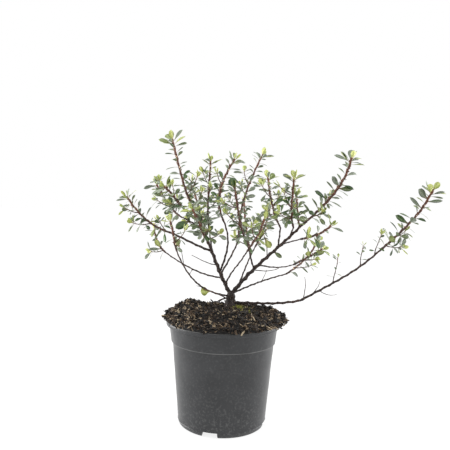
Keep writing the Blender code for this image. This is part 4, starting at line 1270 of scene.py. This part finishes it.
def leaf_turn(axis, above, roll):
    """The turn of a leaf along an axis: its upper side faces the way that is above it, then rolls."""
    face = (above - axis * above.dot(axis)).normalized()
    face = turned_about(face, axis, roll)
    return Matrix((axis, face.cross(axis), face)).transposed().to_euler()


leaf_places = {kind: [] for kind in KINDS}


def grow_leaves(stem, cloud, first_share, size, rosette, step, rng):
    """Gives a stem its leaves, each turned on until it clears the limbs, or left out."""
    for share, turn, lean, length, kind, form in leaf_orders(stem, first_share, size, rosette, step, rng):
        roll = rng.gauss(0, LEAF_ROLL)
        wide = rng.uniform(0.88, 1.15)
        heading = stem.heading(share)
        for attempt in range(5):
            aside = (attempt + 1) // 2 * math.radians(32) * (1 if attempt % 2 else -1)
            out = outward(heading, turn + aside)
            axis = (heading * math.cos(lean) + out * math.sin(lean)).normalized()
            axis = (axis + Vector((0.0, 0.0, -LEAF_DROOP * math.sin(lean)))).normalized()
            root = stem.line(share) + out * (0.5 * stem.radius(share))
            reach = np.array([tuple(root + axis * (length * part)) for part in (0.35, 0.7, 1.0)])
            if not clear_of(reach, cloud) or not inside(reach):
                continue
            facing = leaf_turn(axis, heading, roll)
            leaf_places[kind].append(Place(root, facing, (length, length * wide, length), rng.random(), form))
            break


def bud_shape(seed):
    """A bud or leaf scar, one unit long: a small pointed lump."""
    rng = random.Random(seed)
    bm = bmesh.new()
    bmesh.ops.create_icosphere(bm, subdivisions=1, radius=0.5)
    for vertex in bm.verts:
        vertex.co.x += 0.25
        taper = 1 - 0.6 * max(0.0, vertex.co.x)
        vertex.co.y *= taper * rng.uniform(0.8, 1.2)
        vertex.co.z *= taper * rng.uniform(0.8, 1.2)
    mesh = bpy.data.meshes.new("bud")
    bm.to_mesh(mesh)
    bm.free()
    mesh.shade_smooth()
    return mesh


def bud_places(stem, rng):
    """Buds and scars crowded along a shoot, each leaning outward."""
    first_share = 0.12
    found = []
    count = round(stem.length * (1 - first_share) / BUD_STEP)
    for i in range(count):
        share = first_share + (1 - first_share) * (i + rng.random()) / count
        heading = stem.heading(share)
        out = outward(heading, rng.uniform(0, math.tau))
        axis = (out + heading * rng.uniform(0.3, 1.4)).normalized()
        side = axis.cross(heading).normalized()
        turn = Matrix((axis, side, axis.cross(side))).transposed().to_euler()
        length = rng.uniform(*BUD_LENGTH)
        size = (length, length * 0.62, length * 0.55)
        point = stem.line(share) + out * (0.6 * stem.radius(share))
        found.append(Place(point, turn, size, rng.random(), rng.randrange(BUD_FORMS)))
    return found


def side_twig(stem, share, turn, cloud, rng):
    """A twig from this share of the stem, turned on until it clears the limbs, or none."""
    reach = rng.uniform(*TWIG_REACH)
    lean = math.radians(rng.uniform(*TWIG_LEAN))
    heading = stem.heading(share)
    start = stem.line(share)
    turn += rng.uniform(0, math.tau)
    for attempt in range(8):
        out = outward(heading, turn + attempt * math.tau / 8)
        aim = (heading * math.cos(lean) + out * math.sin(lean)).normalized()
        bow = (out - Vector((0.0, 0.0, 0.6))) * (0.06 * reach)
        twig = Stem(bowed(start, start + aim * reach, bow), TWIG_FOOT_RADIUS, TWIG_TIP_RADIUS)
        if clear_of(twig.cloud()[3:, :3], cloud):
            return twig
    return None


buds = []
green_wood = Woodpile()


def grow_shoot(shoot):
    """One shoot's wood, buds and leaves, with the side twigs that find room among the limbs."""
    stem = stems[shoot.name]
    rng = random.Random(shoot.name)
    others = np.vstack([s.cloud() for name, s in stems.items() if name not in (shoot.name, "trunk")])
    small = shoot.leaf_size < 0.8
    sparse = shoot.name in SPARSE_SHOOTS
    tall = shoot.name in TALL_SHOOTS
    if not small:
        stem.tip_radius *= SHOOT_GIRTH
        stem.foot_radius = max(stem.foot_radius, stem.tip_radius)
        buds.extend(bud_places(stem, rng))
    old = 0.55 if shoot.foot_radius > 0.9 else 0.8
    green_wood.stem(stem, sides=7, spacing=0.0018, relief=TWIG_RELIEF, old=old, young=0.20)
    if shoot.name == "foliage_foot":
        # It carries one round leaf, which is among the single leaves
        return
    first_share = 0.06 if shoot.share == 1.0 else 0.20
    size = shoot.leaf_size * (TALL_LEAF_SHARE if tall else 1.0)
    rosette = SPARSE_ROSETTE_LEAVES if sparse else ROSETTE_LEAVES
    if small:
        rosette = SMALL_ROSETTE_LEAVES
    step = LEAF_STEP * (SPARSE_STEP_SHARE if sparse or small else 1.0)
    grow_leaves(stem, others, first_share, size, rosette, step, rng)
    twigs = shoot.twigs + (0 if small or sparse or tall else 1)
    for i in range(twigs):
        share = 0.08 + (0.34 if tall else 0.68) * (i + rng.uniform(0.0, 0.6)) / twigs
        twig = side_twig(stem, share, GOLDEN_TURN * i, others, rng)
        if twig:
            green_wood.stem(twig, sides=6, spacing=0.0022, relief=TWIG_RELIEF, old=0.55, young=0.25)
            size = shoot.leaf_size * TWIG_LEAF_SHARE
            grow_leaves(twig, others, 0.22, size, TWIG_ROSETTE_LEAVES, step * 1.2, rng)


grow(stems, SHOOTS)
for shoot in SHOOTS:
    grow_shoot(shoot)

for single in SINGLE_LEAVES:
    root = stems[single.bearer].line(single.share)
    axis = Vector(single.tip) / 1000 - root
    length = axis.length
    axis.normalize()
    facing = leaf_turn(axis, TOWARDS_VIEWER, 0.0)
    size = (length, length * single.width / ROUND_WIDTH, length)
    leaf_places[single.kind].append(Place(root, facing, size, 0.5, ROUND_FORM))

# Young bark is smoother than old and red-brown to the tip, and its bud scales dry to pale brown
YOUNG_WOOD_STOPS = ((0.0, "#7C4630"), (0.28, "#55301F"), (0.55, "#382219"), (1.0, "#241915"))
BUD_STOPS = ((0.0, "#321A13"), (0.45, "#6A3222"), (0.75, "#8C5A43"), (0.95, "#DCC6A8"))
young_bark = bark("young_escallonia_bark", YOUNG_WOOD_STOPS, roughness=0.6, grain_scale=300.0)
bud_scales = tinted("bud_scales", BUD_STOPS, roughness=0.6, grain_scale=500.0, bump_strength=0.2)
young_shoots = show("young_shoots", green_wood.mesh("young_shoots"), young_bark)
leaf_buds = scatter("leaf_buds", buds, [bud_shape(seed) for seed in range(BUD_FORMS)], bud_scales)
foliage_nodes = sorted(name for name in frame["nodes"] if name.startswith("foliage"))
for piece in (young_shoots, leaf_buds):
    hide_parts(*foliage_nodes)
    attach(piece, "root")

# Four narrow blades, from nearly flat to well arched, and a round cupped one for the young leaves
BLADES = [
    blade(width_share=0.38, widest=0.70, arch=0.10, fold=0.35),
    blade(width_share=0.34, widest=0.72, arch=0.22, fold=0.20),
    blade(width_share=0.42, widest=0.66, arch=0.04, fold=0.50),
    blade(width_share=0.31, widest=0.74, arch=0.30, fold=0.10),
    blade(width_share=ROUND_WIDTH, widest=0.60, arch=-0.14, fold=0.45, foot=0.26),
]

# Each kind's light and dark tones, its foot, its midrib, and the roughness of its wax
LEAF_FINISHES = {
    "young": waxy_leaf("young_leaf", "#C6CC78", "#9AA954", "#B09B72", "#D3D896", 0.42),
    "fresh": waxy_leaf("fresh_leaf", "#9BA565", "#75864B", "#9C8263", "#B2B887", 0.40),
    "mature": waxy_leaf("mature_leaf", "#79865C", "#4C5C3A", "#8A725A", "#8F9A79", 0.36),
    "grey": waxy_leaf("grey_green_leaf", "#8C9682", "#646F5B", "#94846F", "#9FA796", 0.40),
    "dark": waxy_leaf("dark_leaf", "#4F6B38", "#2F4724", "#75664A", "#6A8052", 0.32),
}
for kind in KINDS:
    leaves = scatter(kind + "_leaves", leaf_places[kind], BLADES, LEAF_FINISHES[kind])
    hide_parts(*foliage_nodes)
    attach(leaves, "root")
